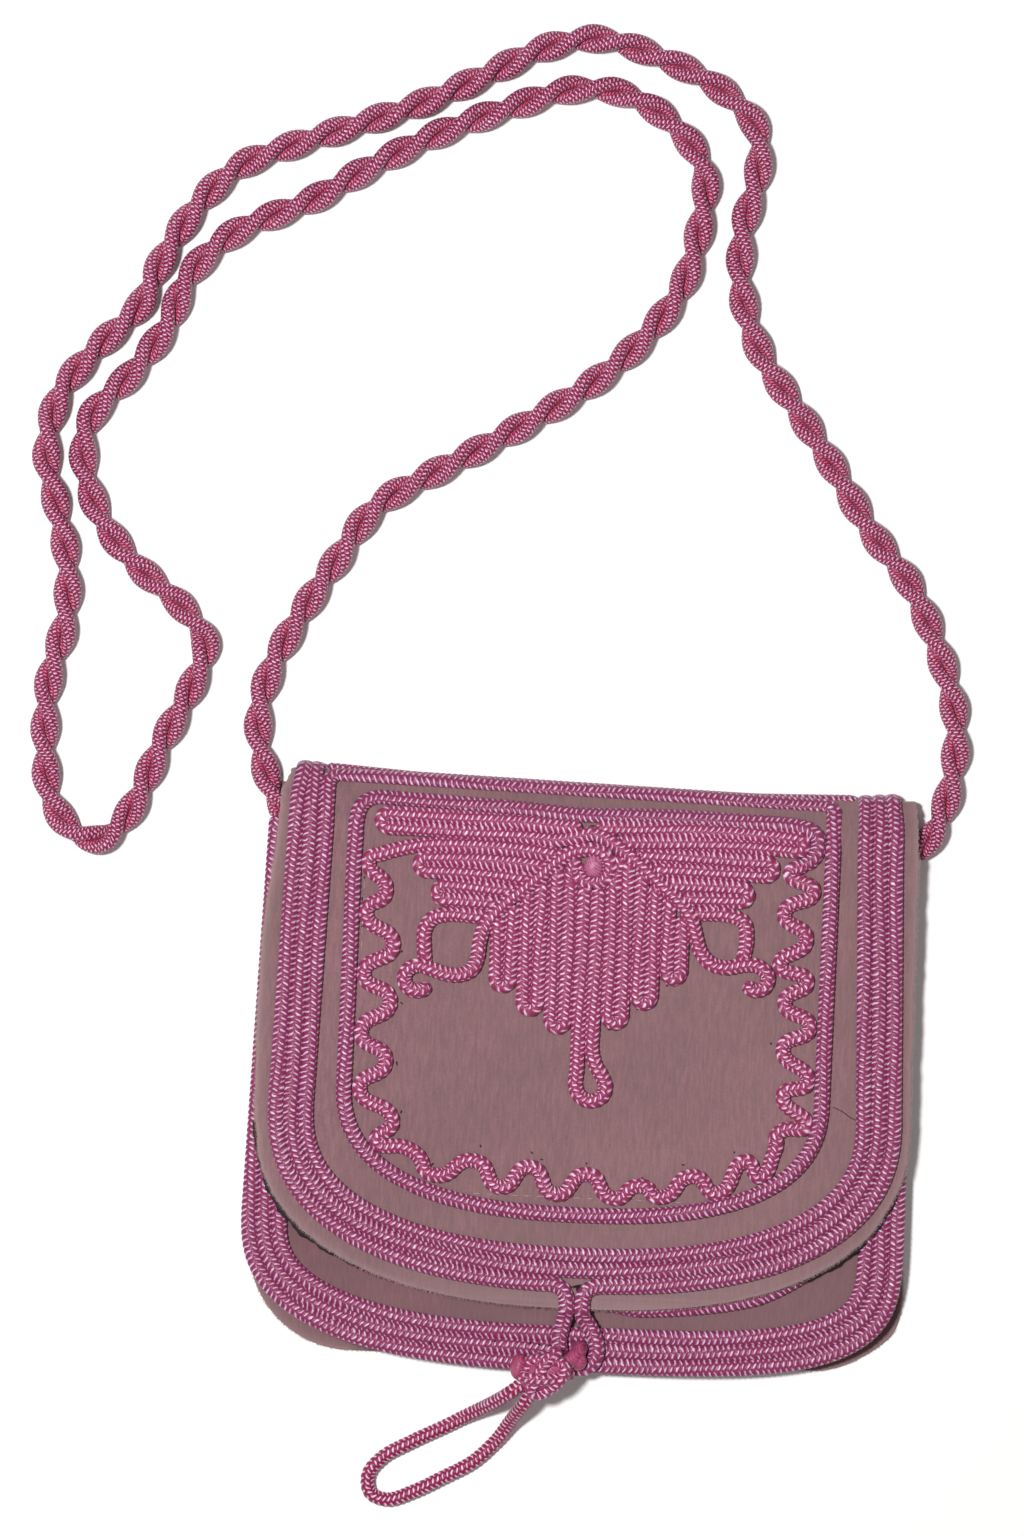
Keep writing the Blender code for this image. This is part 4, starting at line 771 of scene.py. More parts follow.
gusset_line = evenly(front_row(3.2), 1.5)
ahead = unit(np.gradient(gusset_line, axis=0))
inward = np.column_stack([-ahead[:, 1], ahead[:, 0]])
gusset_across = np.array([-1, 1, 1, -1]) * SUEDE / 2
gusset_rise = np.array([SUEDE, SUEDE, SUEDE + POCKET, SUEDE + POCKET])
gusset_plan = gusset_line[:, None] + gusset_across[None, :, None] * inward[:, None]
gusset_points = np.dstack([gusset_plan, np.broadcast_to(gusset_rise, gusset_plan.shape[:2])])
gusset = surface("gusset_suede", to_frame(gusset_points), np.zeros(gusset_points.shape))
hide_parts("gusset")
made["gusset_suede"] = (gusset, "bag", False)
print("gusset: %.0f mm long" % distances(gusset_line)[-1])

# %% [markdown]
# The strap is a rope of two braided cords, twisted. Each cord winds round the middle
# line of the rope, half a turn from the other, so the rope is wide where they lie
# side by side and narrow where one covers the other.

# %% Routes of the strap and the pull loop
STRAP_CORD, STRAP_PITCH, PULL_CORD = 4.1, 25.0, 3.8
FREE_ROUND_BELOW = 0.5
STRAP_ROUTE = [
    (-86.4, 65.2), (-89.6, 71.5),
    (-91.9, 78.0), (-94.2, 90.6), (-91.5, 104.2), (-84.1, 119.5), (-75.0, 134.7), (-64.9, 149.7),
    (-51.5, 158.5), (-37.6, 166.6), (-22.8, 175.7), (-7.3, 186.3), (5.9, 199.1), (15.2, 213.0),
    (19.5, 230.1), (20.0, 244.5), (11.9, 256.0), (-2.0, 264.4), (-16.1, 265.3), (-33.8, 259.4),
    (-53.0, 251.4), (-70.5, 241.8), (-86.8, 231.7), (-105.3, 223.1), (-114.9, 214.8), (-120.2, 206.7),
    (-122.8, 198.1), (-132.2, 183.7), (-143.1, 170.8), (-145.0, 160.9), (-140.1, 144.6), (-130.4, 132.0),
    (-116.0, 119.8), (-109.4, 110.6), (-112.3, 99.8), (-120.3, 82.4), (-127.4, 65.0), (-134.4, 56.5),
    (-141.4, 57.0), (-149.1, 65.7), (-151.7, 80.9), (-151.4, 98.6), (-147.6, 116.2), (-148.0, 131.3),
    (-151.6, 146.5), (-154.9, 160.7), (-151.8, 176.7), (-142.2, 189.6), (-131.6, 201.0), (-126.6, 212.5),
    (-117.9, 227.9), (-106.8, 239.8), (-91.9, 246.7), (-75.8, 252.6), (-57.6, 259.6), (-41.9, 267.3),
    (-24.4, 276.3), (-10.2, 279.3), (7.4, 274.6), (22.5, 267.6), (33.4, 257.1), (34.6, 245.4),
    (31.2, 229.1), (31.5, 212.8), (37.7, 195.4), (48.1, 180.9), (59.6, 164.3), (69.2, 149.3),
    (80.8, 135.0), (88.2, 120.1), (94.4, 101.2), (95.0, 86.5),
    (91.1, 69.8), (85.5, 61.4),
]
PULL_ROUTE = [
    (-13.4, -84.2, 15.4), (-17.2, -87.4, 14.3), (-21.0, -90.4, 10.5), (-25.6, -93.6, 5.2),
    (-30.0, -96.3, 2.4), (-34.2, -98.7, 1.95), (-43.7, -103.6, 1.95), (-51.4, -108.2, 1.95),
    (-55.0, -113.0, 1.95), (-54.2, -118.0, 1.95),
    (-49.6, -119.6, 1.95), (-43.0, -117.3, 1.95), (-34.9, -113.0, 1.95), (-26.7, -108.2, 1.95),
    (-20.6, -102.0, 2.4), (-17.2, -96.6, 5.4), (-15.0, -92.9, 9.9), (-13.3, -90.1, 13.0),
    (-11.2, -86.0, 15.2),
]
print("points chosen by hand:", len(STRAP_ROUTE), "on the strap,", len(PULL_ROUTE), "on the pull loop")

# %% [markdown]
# Both cords of the strap come out of the top corners of the purse, where the rope is
# thinner. Their strokes are close together, and the pattern is folded so that more
# columns show. The pull loop is one such cord, not twisted with another.

# %% Strap and pull loop
strap_plan = evenly(smooth(STRAP_ROUTE), 0.45)
strap_run = distances(strap_plan)
strap_end = np.minimum(strap_run, strap_run[-1] - strap_run)
taper = np.interp(strap_end, [0, 9], [0.84, 1.0])
strap_z = STRAP_CORD * taper + np.interp(strap_end, [0, 12], [1.2, 0])
strap_middle = np.column_stack([strap_plan, strap_z])
ahead = unit(np.gradient(strap_plan, axis=0))
sideways = np.column_stack([ahead[:, 1], -ahead[:, 0], np.zeros(len(ahead))])
grids, attributes = [], []
for ply in range(2):
    wind = 2 * np.pi * strap_run / STRAP_PITCH + ply * np.pi
    away = sideways * np.cos(wind)[:, None] + np.array([0, 0, 1.0]) * np.sin(wind)[:, None]
    path = strap_middle + away * (STRAP_CORD / 2 * 0.96 * taper)[:, None]
    points, values = cord_grid(path, away, STRAP_CORD, STRAP_CORD, spacing=0.58, sides=22,
                               round_below=FREE_ROUND_BELOW, fine=1.55, folds=1.35)
    centre = points.mean(axis=1, keepdims=True)
    size = np.interp(distances(centre[:, 0]), distances(path), taper)
    grids.append(centre + (points - centre) * size[:, None, None])
    attributes.append(values)
plies = [surface(f"strap_ply_{n}", to_frame(g), a) for n, (g, a) in enumerate(zip(grids, attributes))]

pull_path = evenly(smooth(PULL_ROUTE), 0.4)
pull_up = np.tile([0.0, 0.0, 1.0], (len(pull_path), 1))
pull_points, pull_values = cord_grid(pull_path, pull_up, PULL_CORD, PULL_CORD,
                                     round_below=FREE_ROUND_BELOW, fine=1.1)
pull = surface("pull_loop_braid", to_frame(pull_points), pull_values)

# %% [markdown]
# The knot is a ball: a braid that weaves over and under itself round an oval core.
# Its line goes three times round while it swings up and down four times, and dips
# under at every second crossing.

# %% Closure knot
BALL = np.array([-8.4, -81.8, 15.6])
BALL_HALF = np.array([7.5, 4.8, 3.4])
BALL_TURN = math.radians(30)
KNOT_BRAID = (3.4, 2.8)
t = np.linspace(0, 2 * np.pi, 600, endpoint=False)
swing = 0.85 * np.cos(4 * t)
reach = 1 + 0.10 * np.sin(8 * t)
local = np.column_stack([np.cos(3 * t) * np.cos(swing), np.sin(3 * t) * np.cos(swing), np.sin(swing)])
local = local[:, [2, 0, 1]] * reach[:, None] * BALL_HALF


def turned(points, turn):
    """The points turned about the upright axis."""
    c, s = math.cos(turn), math.sin(turn)
    return points @ np.array([[c, -s, 0], [s, c, 0], [0, 0, 1]]).T


knot_path = turned(local, BALL_TURN) + BALL
knot_ups = unit(knot_path - BALL)
knot_path = np.vstack([knot_path, knot_path[:3]])
knot_ups = np.vstack([knot_ups, knot_ups[:3]])
knot_points, knot_values = cord_grid(knot_path, knot_ups, *KNOT_BRAID, spacing=0.35, sides=14,
                                     round_below=FREE_ROUND_BELOW)
knot = surface("closure_knot_braid", to_frame(knot_points), knot_values)
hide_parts("closure_knot")
made["closure_knot_braid"] = (knot, "bag", False)
print("knot: %.0f mm of braid" % distances(knot_path)[-1])

# %% [markdown]
# Smooth satin thread is wound round the knot's neck, round the core that shows
# between the turns of its braid, and as the small ball that fills the ring.

# %% Wound thread
STEM = [(0.7, -75.2, 9.9), (0.7, -75.4, 12.0), (-0.6, -77.2, 14.2), (-3.4, -79.4, 15.4), (-6.0, -81.0, 15.6)]
STEM_RADIUS = 2.1
RING_BALL, RING_BALL_RADII = (-1.5, 55.0, FLAP_TOP + 0.95), (2.5, 3.1, 2.0)


def lump(name, centre, radii, turn=0.0):
    """An ellipsoid of smooth satin thread, in measured millimetres."""
    theta = np.linspace(0, 2 * np.pi, 40, endpoint=False)[None, :]
    phi = np.linspace(np.pi - 0.02, 0.02, 24)[:, None]
    high = np.broadcast_to(np.cos(phi), (24, 40))
    ball = np.stack([np.sin(phi) * np.cos(theta), np.sin(phi) * np.sin(theta), high], -1)
    points = turned(ball * np.asarray(radii), turn) + np.asarray(centre)
    return surface(name, to_frame(points), np.zeros(points.shape))


core_piece = lump("closure_knot_core", BALL, BALL_HALF * 0.97, BALL_TURN)
LUMPS = {"closure_lump_left": ((-15.6, -80.4, 15.2), (2.3, 3.6, 3.2), -0.1),
         "closure_lump_middle": ((-8.0, -78.6, 16.8), (4.1, 2.4, 2.5), 0.25),
         "closure_lump_right": ((0.2, -78.4, 13.4), (2.5, 2.7, 2.5), 0.4)}
lumps = [lump(name, *shape) for name, shape in LUMPS.items()]
stem_path = evenly(smooth(STEM), 0.4)
ahead = unit(np.gradient(stem_path, axis=0))
side = unit(np.cross(ahead, [0.3, 1.0, 0.1]))
over = np.cross(side, ahead)
a = np.linspace(0, 2 * np.pi, 20, endpoint=False)[None, :, None]
stem_round = np.cos(a) * side[:, None] + np.sin(a) * over[:, None]
stem_points = stem_path[:, None] + STEM_RADIUS * stem_round
stem = surface("closure_stem", to_frame(stem_points[::-1]), np.zeros(stem_points.shape))
ring_ball = lump("ring_ball_satin", RING_BALL, RING_BALL_RADII)
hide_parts("ring_ball")
for piece in (core_piece, stem, ring_ball, *lumps):
    made[piece.name] = (piece, "flap" if piece is ring_ball else "bag", False)
print("wound pieces:", 3 + len(lumps))

# %% [markdown]
# Small things show how the purse was sewn and worn. Dark ends of the sewing thread
# stand up at the turns of the cords, pale running stitches lie beside the frame, and
# a loose hair has stuck to the nap. Each thread is a thin spindle.

# %% Threads
rng = np.random.default_rng(7)


def threads(name, starts, ends, radius, finish, body):
    """Short threads: each a thin four-sided spindle from its start to its end.

    All are made at once: a ring of four points at each of three places along."""
    starts, ends = np.asarray(starts, float), np.asarray(ends, float)
    along = unit(ends - starts)
    side = unit(np.cross(along, [0.01, 0.02, 1.0]))
    over = np.cross(side, along)
    share = np.array([0.0, 0.5, 1.0])[None, :, None, None]
    size = np.array([0.5, 1.0, 0.4])[None, :, None, None] * radius
    a = (np.arange(4) * np.pi / 2)[None, None, :, None]
    round_it = np.cos(a) * side[:, None, None] + np.sin(a) * over[:, None, None]
    points = starts[:, None, None] * (1 - share) + ends[:, None, None] * share + round_it * size
    here, beside = np.arange(8), np.arange(8) // 4 * 4 + np.arange(1, 9) % 4
    one = np.vstack([np.stack([here, beside, beside + 4, here + 4], 1), [(0, 3, 2, 1), (8, 9, 10, 11)]])
    faces = (one[None] + 12 * np.arange(len(starts))[:, None, None]).reshape(-1, 4)
    piece = new_piece(name, to_frame(points), faces.tolist())
    piece.data.shade_smooth()
    extras.append((piece, finish, body))


TIPS = [(-52, 30), (-52, 16), (-52.3, 0), (-50.5, -14), (-28.5, -22.2), (-15, -22.7), (-12.3, -24.7),
        (0, -25), (15.3, -28.2), (26.7, -24.5), (40, -20.7), (48.5, 9), (-7, 10), (5, 11), (12.3, 17),
        (20, 23.8), (-3, 65.8), (-1.7, 49.3), (-22, 44.3), (-63.5, 36), (-63.6, 43), (-63.4, 49), (-41, -27),
        (30, -30), (50, -16)]
tip_xy = np.array(TIPS)
turn_to = rng.uniform(0, 2 * np.pi, len(tip_xy))
reach = rng.uniform(0.5, 1.1, len(tip_xy))
tip_end = tip_xy + np.column_stack([np.cos(turn_to), np.sin(turn_to)]) * reach[:, None]
tip_base, up = on_sheet(tip_xy[:, 0], w_at(tip_xy[:, 1]), 0.15)
tip_top, up = on_sheet(tip_end[:, 0], w_at(tip_end[:, 1]), 0.7)
on_cord = np.array([y > 44 and abs(x) < 23 for x, y in TIPS])
rise = up * np.where(on_cord, 2.3, 0.0)[:, None]
threads("thread_ends_flap", tip_base + rise, tip_top + rise, 0.2, "dark", "flap")
LOW_TIPS = np.array([(-11.5, -71), (-22, -74.4), (-12.7, -74.3), (-10.7, -74.7), (-8, -75), (-25, -76.1),
                     (-40, -75.5)])
low_end = LOW_TIPS + rng.uniform(-0.8, 0.8, LOW_TIPS.shape)
threads("thread_ends_front", np.column_stack([LOW_TIPS, np.full(len(LOW_TIPS), FRONT_TOP + 2.3)]),
        np.column_stack([low_end, np.full(len(LOW_TIPS), FRONT_TOP + 3.0)]), 0.22, "dark", "bag")
side_stitch = np.array([(-88.6, y, 5.0) for y in (61.0, 63.6, 66.4, 69.0)])
threads("side_stitches", side_stitch, side_stitch + [0.5, 1.5, 0.4], 0.22, "dark", "bag")
row_x = np.arange(-30, 25, 3.4)
side_row = [(-63.2, y) for y in range(30, 50, 4)]
pale_start = np.vstack([np.column_stack([row_x, np.full(len(row_x), -34.7)]), side_row])
stitch = np.vstack([np.tile([2.3, 0.1], (len(row_x), 1)), np.tile([0.1, 2.4], (len(side_row), 1))])
pale_end = pale_start + stitch
threads("running_stitches", on_sheet(pale_start[:, 0], pale_start[:, 1], 0.05)[0],
        on_sheet(pale_end[:, 0], pale_end[:, 1], 0.05)[0], 0.16, "pale", "flap")
hair = smooth([(66.0, -7.0), (68.4, -8.0), (70.8, -9.6), (73.0, -10.5)])
hair_place = on_sheet(hair[:, 0], hair[:, 1], 0.15)[0]
threads("loose_hair", hair_place[:-1], hair_place[1:], 0.13, "dark", "flap")
threads("closure_stitch", [(-2.4, -58.6, FLAP_TOP + 2.2), (-0.6, -57.9, FLAP_TOP + 2.0)],
        [(0.4, -57.8, FLAP_TOP + 2.6), (-1.0, -59.6, FLAP_TOP + 1.6)], 0.3, "dark", "flap")
print("thread groups:", len(extras))

# %% [markdown]
# A thin dark strip below the flap's lower corners shows past the cut edge there.
# It is painted shadow in the gap under the flap's edge.

# %% Painted shadow under the flap's edge
def gap_shadow(name, line, widths):
    """A thin dark strip of painted shadow below the flap's edge that shows past it by the widths."""
    ahead = unit(np.gradient(line, axis=0))
    outward = np.column_stack([ahead[:, 1], -ahead[:, 0]])
    wobble = widths * (1 + 0.2 * np.sin(distances(line) * 0.8) + 0.12 * np.sin(distances(line) * 2.1))
    reach = np.column_stack([np.full(len(line), -0.4), wobble, wobble, np.full(len(line), -0.4)])
    plan = line[:, None] + reach[..., None] * outward[:, None]
    z = np.broadcast_to(FLAP_TOP - SUEDE + np.array([0.05, 0.0, -0.3, -0.3]), plan.shape[:2])
    points = np.dstack([plan, z])
    extras.append((surface(name, to_frame(points), np.zeros(points.shape)), "dark", "flap"))


edge_line = evenly(flap_end, 0.6)
left_part = edge_line[(edge_line[:, 0] < -50) & (edge_line[:, 1] < -18)]
right_part = edge_line[(edge_line[:, 0] > 52) & (edge_line[:, 1] < -22)]
LEFT_SHOWS = ([-88, -84, -76, -68, -50], [0.4, 1.3, 1.5, 0.9, 0.0])
RIGHT_SHOWS = ([52, 60, 74, 83, 86], [0.2, 0.7, 1.2, 1.0, 0.3])
# Both strips are painted shadow in the gap under the flap's lower corners.
gap_shadow("gap_shadow_left", left_part, np.interp(left_part[:, 0], *LEFT_SHOWS))
gap_shadow("gap_shadow_right", right_part, np.interp(right_part[:, 0], *RIGHT_SHOWS))
print("underside shows along %.0f mm" % (distances(left_part)[-1] + distances(right_part)[-1]))

# %% [markdown]
# Cut suede is fuzzy. Short fibres lean out of the edge at random, each a triangle,
# and a fixed seed makes them the same each time that the script runs.

# %% Fuzz on the cut edges
def fuzz(name, edge, outward, count, body):
    """Fibres along a cut edge: each a thin triangle that leans out at random."""
    pick = rng.integers(0, len(edge), count)
    base, out = edge[pick], outward[pick]
    across = np.column_stack([-out[:, 1], out[:, 0], out[:, 2]])
    base = base + across * rng.uniform(-0.4, 0.4, (count, 1))
    base = base + np.array([0, 0, 1.0]) * rng.uniform(-0.45, 0.35, (count, 1))
    tip = base + out * rng.uniform(0.25, 0.8, (count, 1)) + across * rng.uniform(-0.4, 0.4, (count, 1))
    tip[:, 2] += rng.uniform(-0.25, 0.3, count)
    corners = np.stack([base - across * 0.06 - out * 0.3, base + across * 0.06 - out * 0.3, tip], 1)
    faces = np.arange(count * 3).reshape(-1, 3).tolist()
    extras.append((new_piece(name, to_frame(corners), faces), "fuzz", body))


def edge_and_out(left, right, rows, place):
    """One line down the left edge and up the right one, evenly, with its outward directions."""
    plan = np.vstack([np.column_stack([left, rows])[::-1], np.column_stack([right, rows])])
    plan = evenly(plan, 0.3)
    ahead = unit(np.gradient(plan, axis=0))
    return place(plan), np.column_stack([ahead[:, 1], -ahead[:, 0], np.zeros(len(plan))])


flat_rows = flap_w < EASE_W - 1
flap_edge, flap_out = edge_and_out(flap_left[flat_rows], flap_right[flat_rows], flap_w[flat_rows],
                                   lambda p: on_sheet(p[:, 0], p[:, 1], -SUEDE / 2)[0])
fuzz("flap_fuzz", flap_edge, flap_out, 5200, "flap")
low_rows = back_y < 40
back_edge, back_out = edge_and_out(back_left[low_rows], back_right[low_rows], back_y[low_rows],
                                   lambda p: np.column_stack([p, np.full(len(p), SUEDE / 2)]))
fuzz("back_fuzz", back_edge, back_out, 2600, "bag")
print("small things:", [piece.name for piece, finish, body in extras])

# %% [markdown]
# Every finish is worked out by nodes from where a point lies on its piece. A few
# helpers keep the node trees short, because each step of a formula is a node.

# %% Node helpers
def feed(tree, made_node, inputs):
    """Link or set a node's inputs, each given by its name or its number."""
    for key, value in inputs.items():
        if isinstance(value, bpy.types.NodeSocket):
            tree.links.new(value, made_node.inputs[key])
        else:
            made_node.inputs[key].default_value = value
    return made_node


def node(tree, kind, inputs=None, **settings):
    """A node with its settings and its linked or set inputs."""
    made_node = tree.nodes.new(kind)
    for key, value in settings.items():
        setattr(made_node, key, value)
    return feed(tree, made_node, inputs or {})


def math_node(tree, kind, *values):
    """One Math node with its inputs linked or set."""
    return node(tree, "ShaderNodeMath", dict(enumerate(values)), operation=kind).outputs[0]


def ramp(tree, factor, stops):
    """A colour ramp through the stops, each a position and a colour."""
    made_ramp = node(tree, "ShaderNodeValToRGB", {"Fac": factor})
    elements = made_ramp.color_ramp.elements
    while len(elements) < len(stops):
        elements.new(0.5)
    for element, (position, colour) in zip(elements, stops):
        element.position = position
        element.color = (*colour, 1.0)
    return made_ramp.outputs["Color"]


def mixed(tree, factor, share, colour, other):
    """A colour that goes over to another one by a share of the factor."""
    by = math_node(tree, "MULTIPLY", factor, share)
    return node(tree, "ShaderNodeMix", {0: by, 6: colour, 7: (*other, 1.0)}, data_type="RGBA").outputs[2]


def noise(tree, place, scale, detail=2.0, roughness=0.5):
    """Noise from 0 to 1 at a place."""
    inputs = {"Vector": place, "Scale": scale, "Detail": detail, "Roughness": roughness}
    return node(tree, "ShaderNodeTexNoise", inputs).outputs["Fac"]


def bump(tree, height, strength, depth):
    """The normal of a surface raised by a height, with its depth in metres."""
    inputs = {"Height": height, "Strength": strength, "Distance": depth}
    return node(tree, "ShaderNodeBump", inputs).outputs["Normal"]


def object_place(tree):
    """Object coordinates."""
    return node(tree, "ShaderNodeTexCoord").outputs["Object"]


def stored_run(tree):
    """The three numbers that the piece's mesh carries at each point."""
    stored = node(tree, "ShaderNodeAttribute", attribute_name="run", attribute_type="GEOMETRY")
    return stored.outputs["Vector"]


def new_material(name):
    """An empty Principled material, its tree and its shader."""
    material = bpy.data.materials.new(name)
    material.use_nodes = True
    return material, material.node_tree, material.node_tree.nodes["Principled BSDF"]


print("materials so far:", len(bpy.data.materials))

# %% [markdown]
# The braid's pattern is the same formula that shaped the cords, so its bright
# strokes, which are painted highlights, lie on the raised ones. It is a node group,
# because more than one material uses it. A little noise in the phase keeps the
# strokes from being too regular.

# %% The braid as a node group
PHASE_NOISE = 0.9
CREST_POWER = 4.0


def braid_group():
    """The braid formula as nodes: run along the cord and the direction round its
    section give a crest mask and a height."""
    group = bpy.data.node_groups.new("braid", "ShaderNodeTree")
    for name in ("Crest", "Height"):
        group.interface.new_socket(name, in_out="OUTPUT", socket_type="NodeSocketFloat")
    out = group.nodes.new("NodeGroupOutput")

    def calc(kind, *values):
        return math_node(group, kind, *values)

    run, c, s = node(group, "ShaderNodeSeparateXYZ", {"Vector": stored_run(group)}).outputs
    turn = calc("DIVIDE", calc("ARCTAN2", c, s), math.pi / 2)
    reach = calc("ABSOLUTE", turn)
    beyond = calc("SUBTRACT", reach, MIDDLE_SHARE)
    lean = calc("SUBTRACT", MIDDLE_LEAN * MIDDLE_SHARE, calc("MULTIPLY", beyond, EDGE_LEAN))
    edge = calc("ADD", calc("MULTIPLY", calc("SIGN", turn), lean), 0.5)
    middle = calc("MULTIPLY", turn, MIDDLE_LEAN)
    is_edge = calc("GREATER_THAN", reach, MIDDLE_SHARE)
    phase = calc("ADD", calc("MULTIPLY", edge, is_edge),
                 calc("MULTIPLY", middle, calc("SUBTRACT", 1.0, is_edge)))
    phase = calc("ADD", phase, calc("DIVIDE", run, BRAID_PERIOD))
    phase = calc("ADD", phase, calc("MULTIPLY", noise(group, object_place(group), 420.0), PHASE_NOISE))
    wave = calc("ADD", calc("MULTIPLY", calc("COSINE", calc("MULTIPLY", phase, 2 * math.pi)), 0.5), 0.5)
    bell = calc("POWER", calc("DIVIDE", beyond, VALLEY_WIDTH), 2.0)
    bell = calc("EXPONENT", calc("MULTIPLY", bell, -1.0))
    height = calc("MULTIPLY", wave, calc("SUBTRACT", 1.0, calc("MULTIPLY", bell, VALLEY_DEPTH)))
    group.links.new(calc("POWER", height, CREST_POWER), out.inputs["Crest"])
    group.links.new(height, out.inputs["Height"])
    return group


braid = braid_group()
print("nodes in the braid group:", len(braid.nodes))

# %% [markdown]
# The cord is shiny thread in three shades of rose. Its crests are pale with a painted
# highlight, its valleys the deep rose of the thread, and noise lets some of the painted
# glints shine more than others. Edge rows, front rows, the frame and the cords along
# the fold are a bit darker, a darker copy which is painted shade, and the free cords
# have painted shade as a crimson groove where their two plies meet.

# %% Cord finishes
def cord_material(name, stops, gain=1.0, groove_shade=None):
    """Shiny braid: the crest mask picks the colour, pale on the crests as a painted
    highlight, and noise makes some of these painted glints brighter than others. The
    same height drives the bump. Where the stored direction is longer than 1 the
    colour goes over to the painted shade of the groove."""
    material, tree, shader = new_material(name)
    pattern = node(tree, "ShaderNodeGroup", node_tree=braid)
    place = object_place(tree)
    glint = math_node(tree, "ADD", math_node(tree, "MULTIPLY", noise(tree, place, 900.0), 1.3), 0.32)
    patch = math_node(tree, "ADD", math_node(tree, "MULTIPLY", noise(tree, place, 60.0), 0.4), 0.8)
    bright = math_node(tree, "MULTIPLY", math_node(tree, "MULTIPLY", glint, patch), gain)
    colour = ramp(tree, math_node(tree, "MULTIPLY", pattern.outputs["Crest"], bright), stops)
    if groove_shade:
        vector = {0: stored_run(tree), 1: (0.0, 1.0, 1.0)}
        across = node(tree, "ShaderNodeVectorMath", vector, operation="MULTIPLY").outputs[0]
        size = node(tree, "ShaderNodeVectorMath", {0: across}, operation="LENGTH").outputs["Value"]
        colour = mixed(tree, math_node(tree, "SUBTRACT", size, 1.0), GROOVE_SHADE_SHARE, colour, groove_shade)
    feed(tree, shader, {"Base Color": colour, "Normal": bump(tree, pattern.outputs["Height"], 0.6, 0.0004),
                        "Roughness": 0.42, "Specular IOR Level": 0.45, "Sheen Weight": 0.15,
                        "Sheen Roughness": 0.4, "Sheen Tint": (1.0, 0.75, 0.88, 1.0)})
    return material


def darker(stops, share):
    """The stops with each colour part taken down by its share."""
    return [(at, tuple(c * s for c, s in zip(colour, share))) for at, colour in stops]


# The stops run from the deep rose of the thread up to a pale lilac, which is a painted highlight on the
# crests.
ROSE_AND_HIGHLIGHT_STOPS = [(0.0, (0.28, 0.03, 0.10)), (0.12, (0.385, 0.055, 0.165)), (0.35, (0.475, 0.145, 0.29)),
              (0.62, (0.62, 0.32, 0.48)), (1.0, (0.88, 0.68, 0.84))]
SHADED_ROW_SHARE, FREE_SHARE = (0.84, 0.89, 0.92), (0.87, 0.84, 0.90)
FREE_VALLEYS = [(0.0, (0.27, 0.010, 0.055)), (0.10, (0.33, 0.034, 0.125))]
# The crimson groove colour is painted shade where the strap's two plies meet.
FREE_GAIN, GROOVE_SHADE, GROOVE_SHADE_SHARE = 1.35, (0.50, 0.014, 0.085), 0.7
rose_cord = cord_material("rose_braid", ROSE_AND_HIGHLIGHT_STOPS)
# A darker copy of the rose braid is painted shade on the edge rows, the front rows, the frame and the cords
# along the fold.
edge_cord = cord_material("shaded_row_braid", darker(ROSE_AND_HIGHLIGHT_STOPS, SHADED_ROW_SHARE))
free_cord = cord_material("free_braid", FREE_VALLEYS + darker(ROSE_AND_HIGHLIGHT_STOPS, FREE_SHARE)[2:], FREE_GAIN, GROOVE_SHADE)
print("cord finishes:", rose_cord.name, edge_cord.name, free_cord.name)

# %% [markdown]
# Napped suede scatters light, so it is dull with a soft sheen. Its colour is uneven:
# fine ribs along the skin, blotches, and single fibres, greyer towards the edges,
# paler where it is cut, and darker where other pieces shade it.

# %% Suede
SUEDE_STOPS = [(0.2, (0.178, 0.098, 0.108)), (0.5, (0.238, 0.122, 0.138)), (0.82, (0.325, 0.160, 0.180))]
EDGE_GREY, CUT_PALE, SHADED = (0.232, 0.146, 0.146), (0.40, 0.28, 0.275), (0.13, 0.062, 0.075)
RIB_SCALE = (1750.0, 260.0, 300.0)


def suede_material():
    """Three noises are added: stretched for the ribs, wide for the blotches and fine
    for the nap. The attribute's x, y and z mix in the cut, the edge and the shade."""
    material, tree, shader = new_material("mauve_suede")
    place = object_place(tree)
    stretched = node(tree, "ShaderNodeMapping", {"Vector": place, "Scale": RIB_SCALE})
    rib = noise(tree, stretched.outputs["Vector"], 1.0, 0.5)
    blotch = noise(tree, place, 28.0, 4.0, 0.6)
    nap = math_node(tree, "MULTIPLY", noise(tree, place, 2200.0, 3.0), 0.6)
    tone = math_node(tree, "ADD", math_node(tree, "MULTIPLY", rib, 0.6),
                     math_node(tree, "MULTIPLY", blotch, 0.65))
    tone = math_node(tree, "SUBTRACT", math_node(tree, "ADD", tone, nap), 0.425)
    cut, near_edge, shade = node(tree, "ShaderNodeSeparateXYZ", {"Vector": stored_run(tree)}).outputs
    colour = mixed(tree, near_edge, 0.6, ramp(tree, tone, SUEDE_STOPS), EDGE_GREY)
    colour = mixed(tree, shade, 0.45, mixed(tree, cut, 0.55, colour, CUT_PALE), SHADED)
    feed(tree, shader, {"Base Color": colour, "Roughness": 0.95, "Specular IOR Level": 0.2,
                        "Normal": bump(tree, math_node(tree, "ADD", nap, rib), 0.35, 0.0003),
                        "Sheen Weight": 0.25, "Sheen Roughness": 0.6, "Sheen Tint": (1.0, 0.85, 0.88, 1.0)})
    return material


mauve_suede = suede_material()
print("suede nodes:", len(mauve_suede.node_tree.nodes))

# %% [markdown]
# The knot and the ball are wound of satin thread, which shows fine uneven lines. The
# sewing thread, the dark strip of painted shadow and the fuzz are too thin for a pattern.

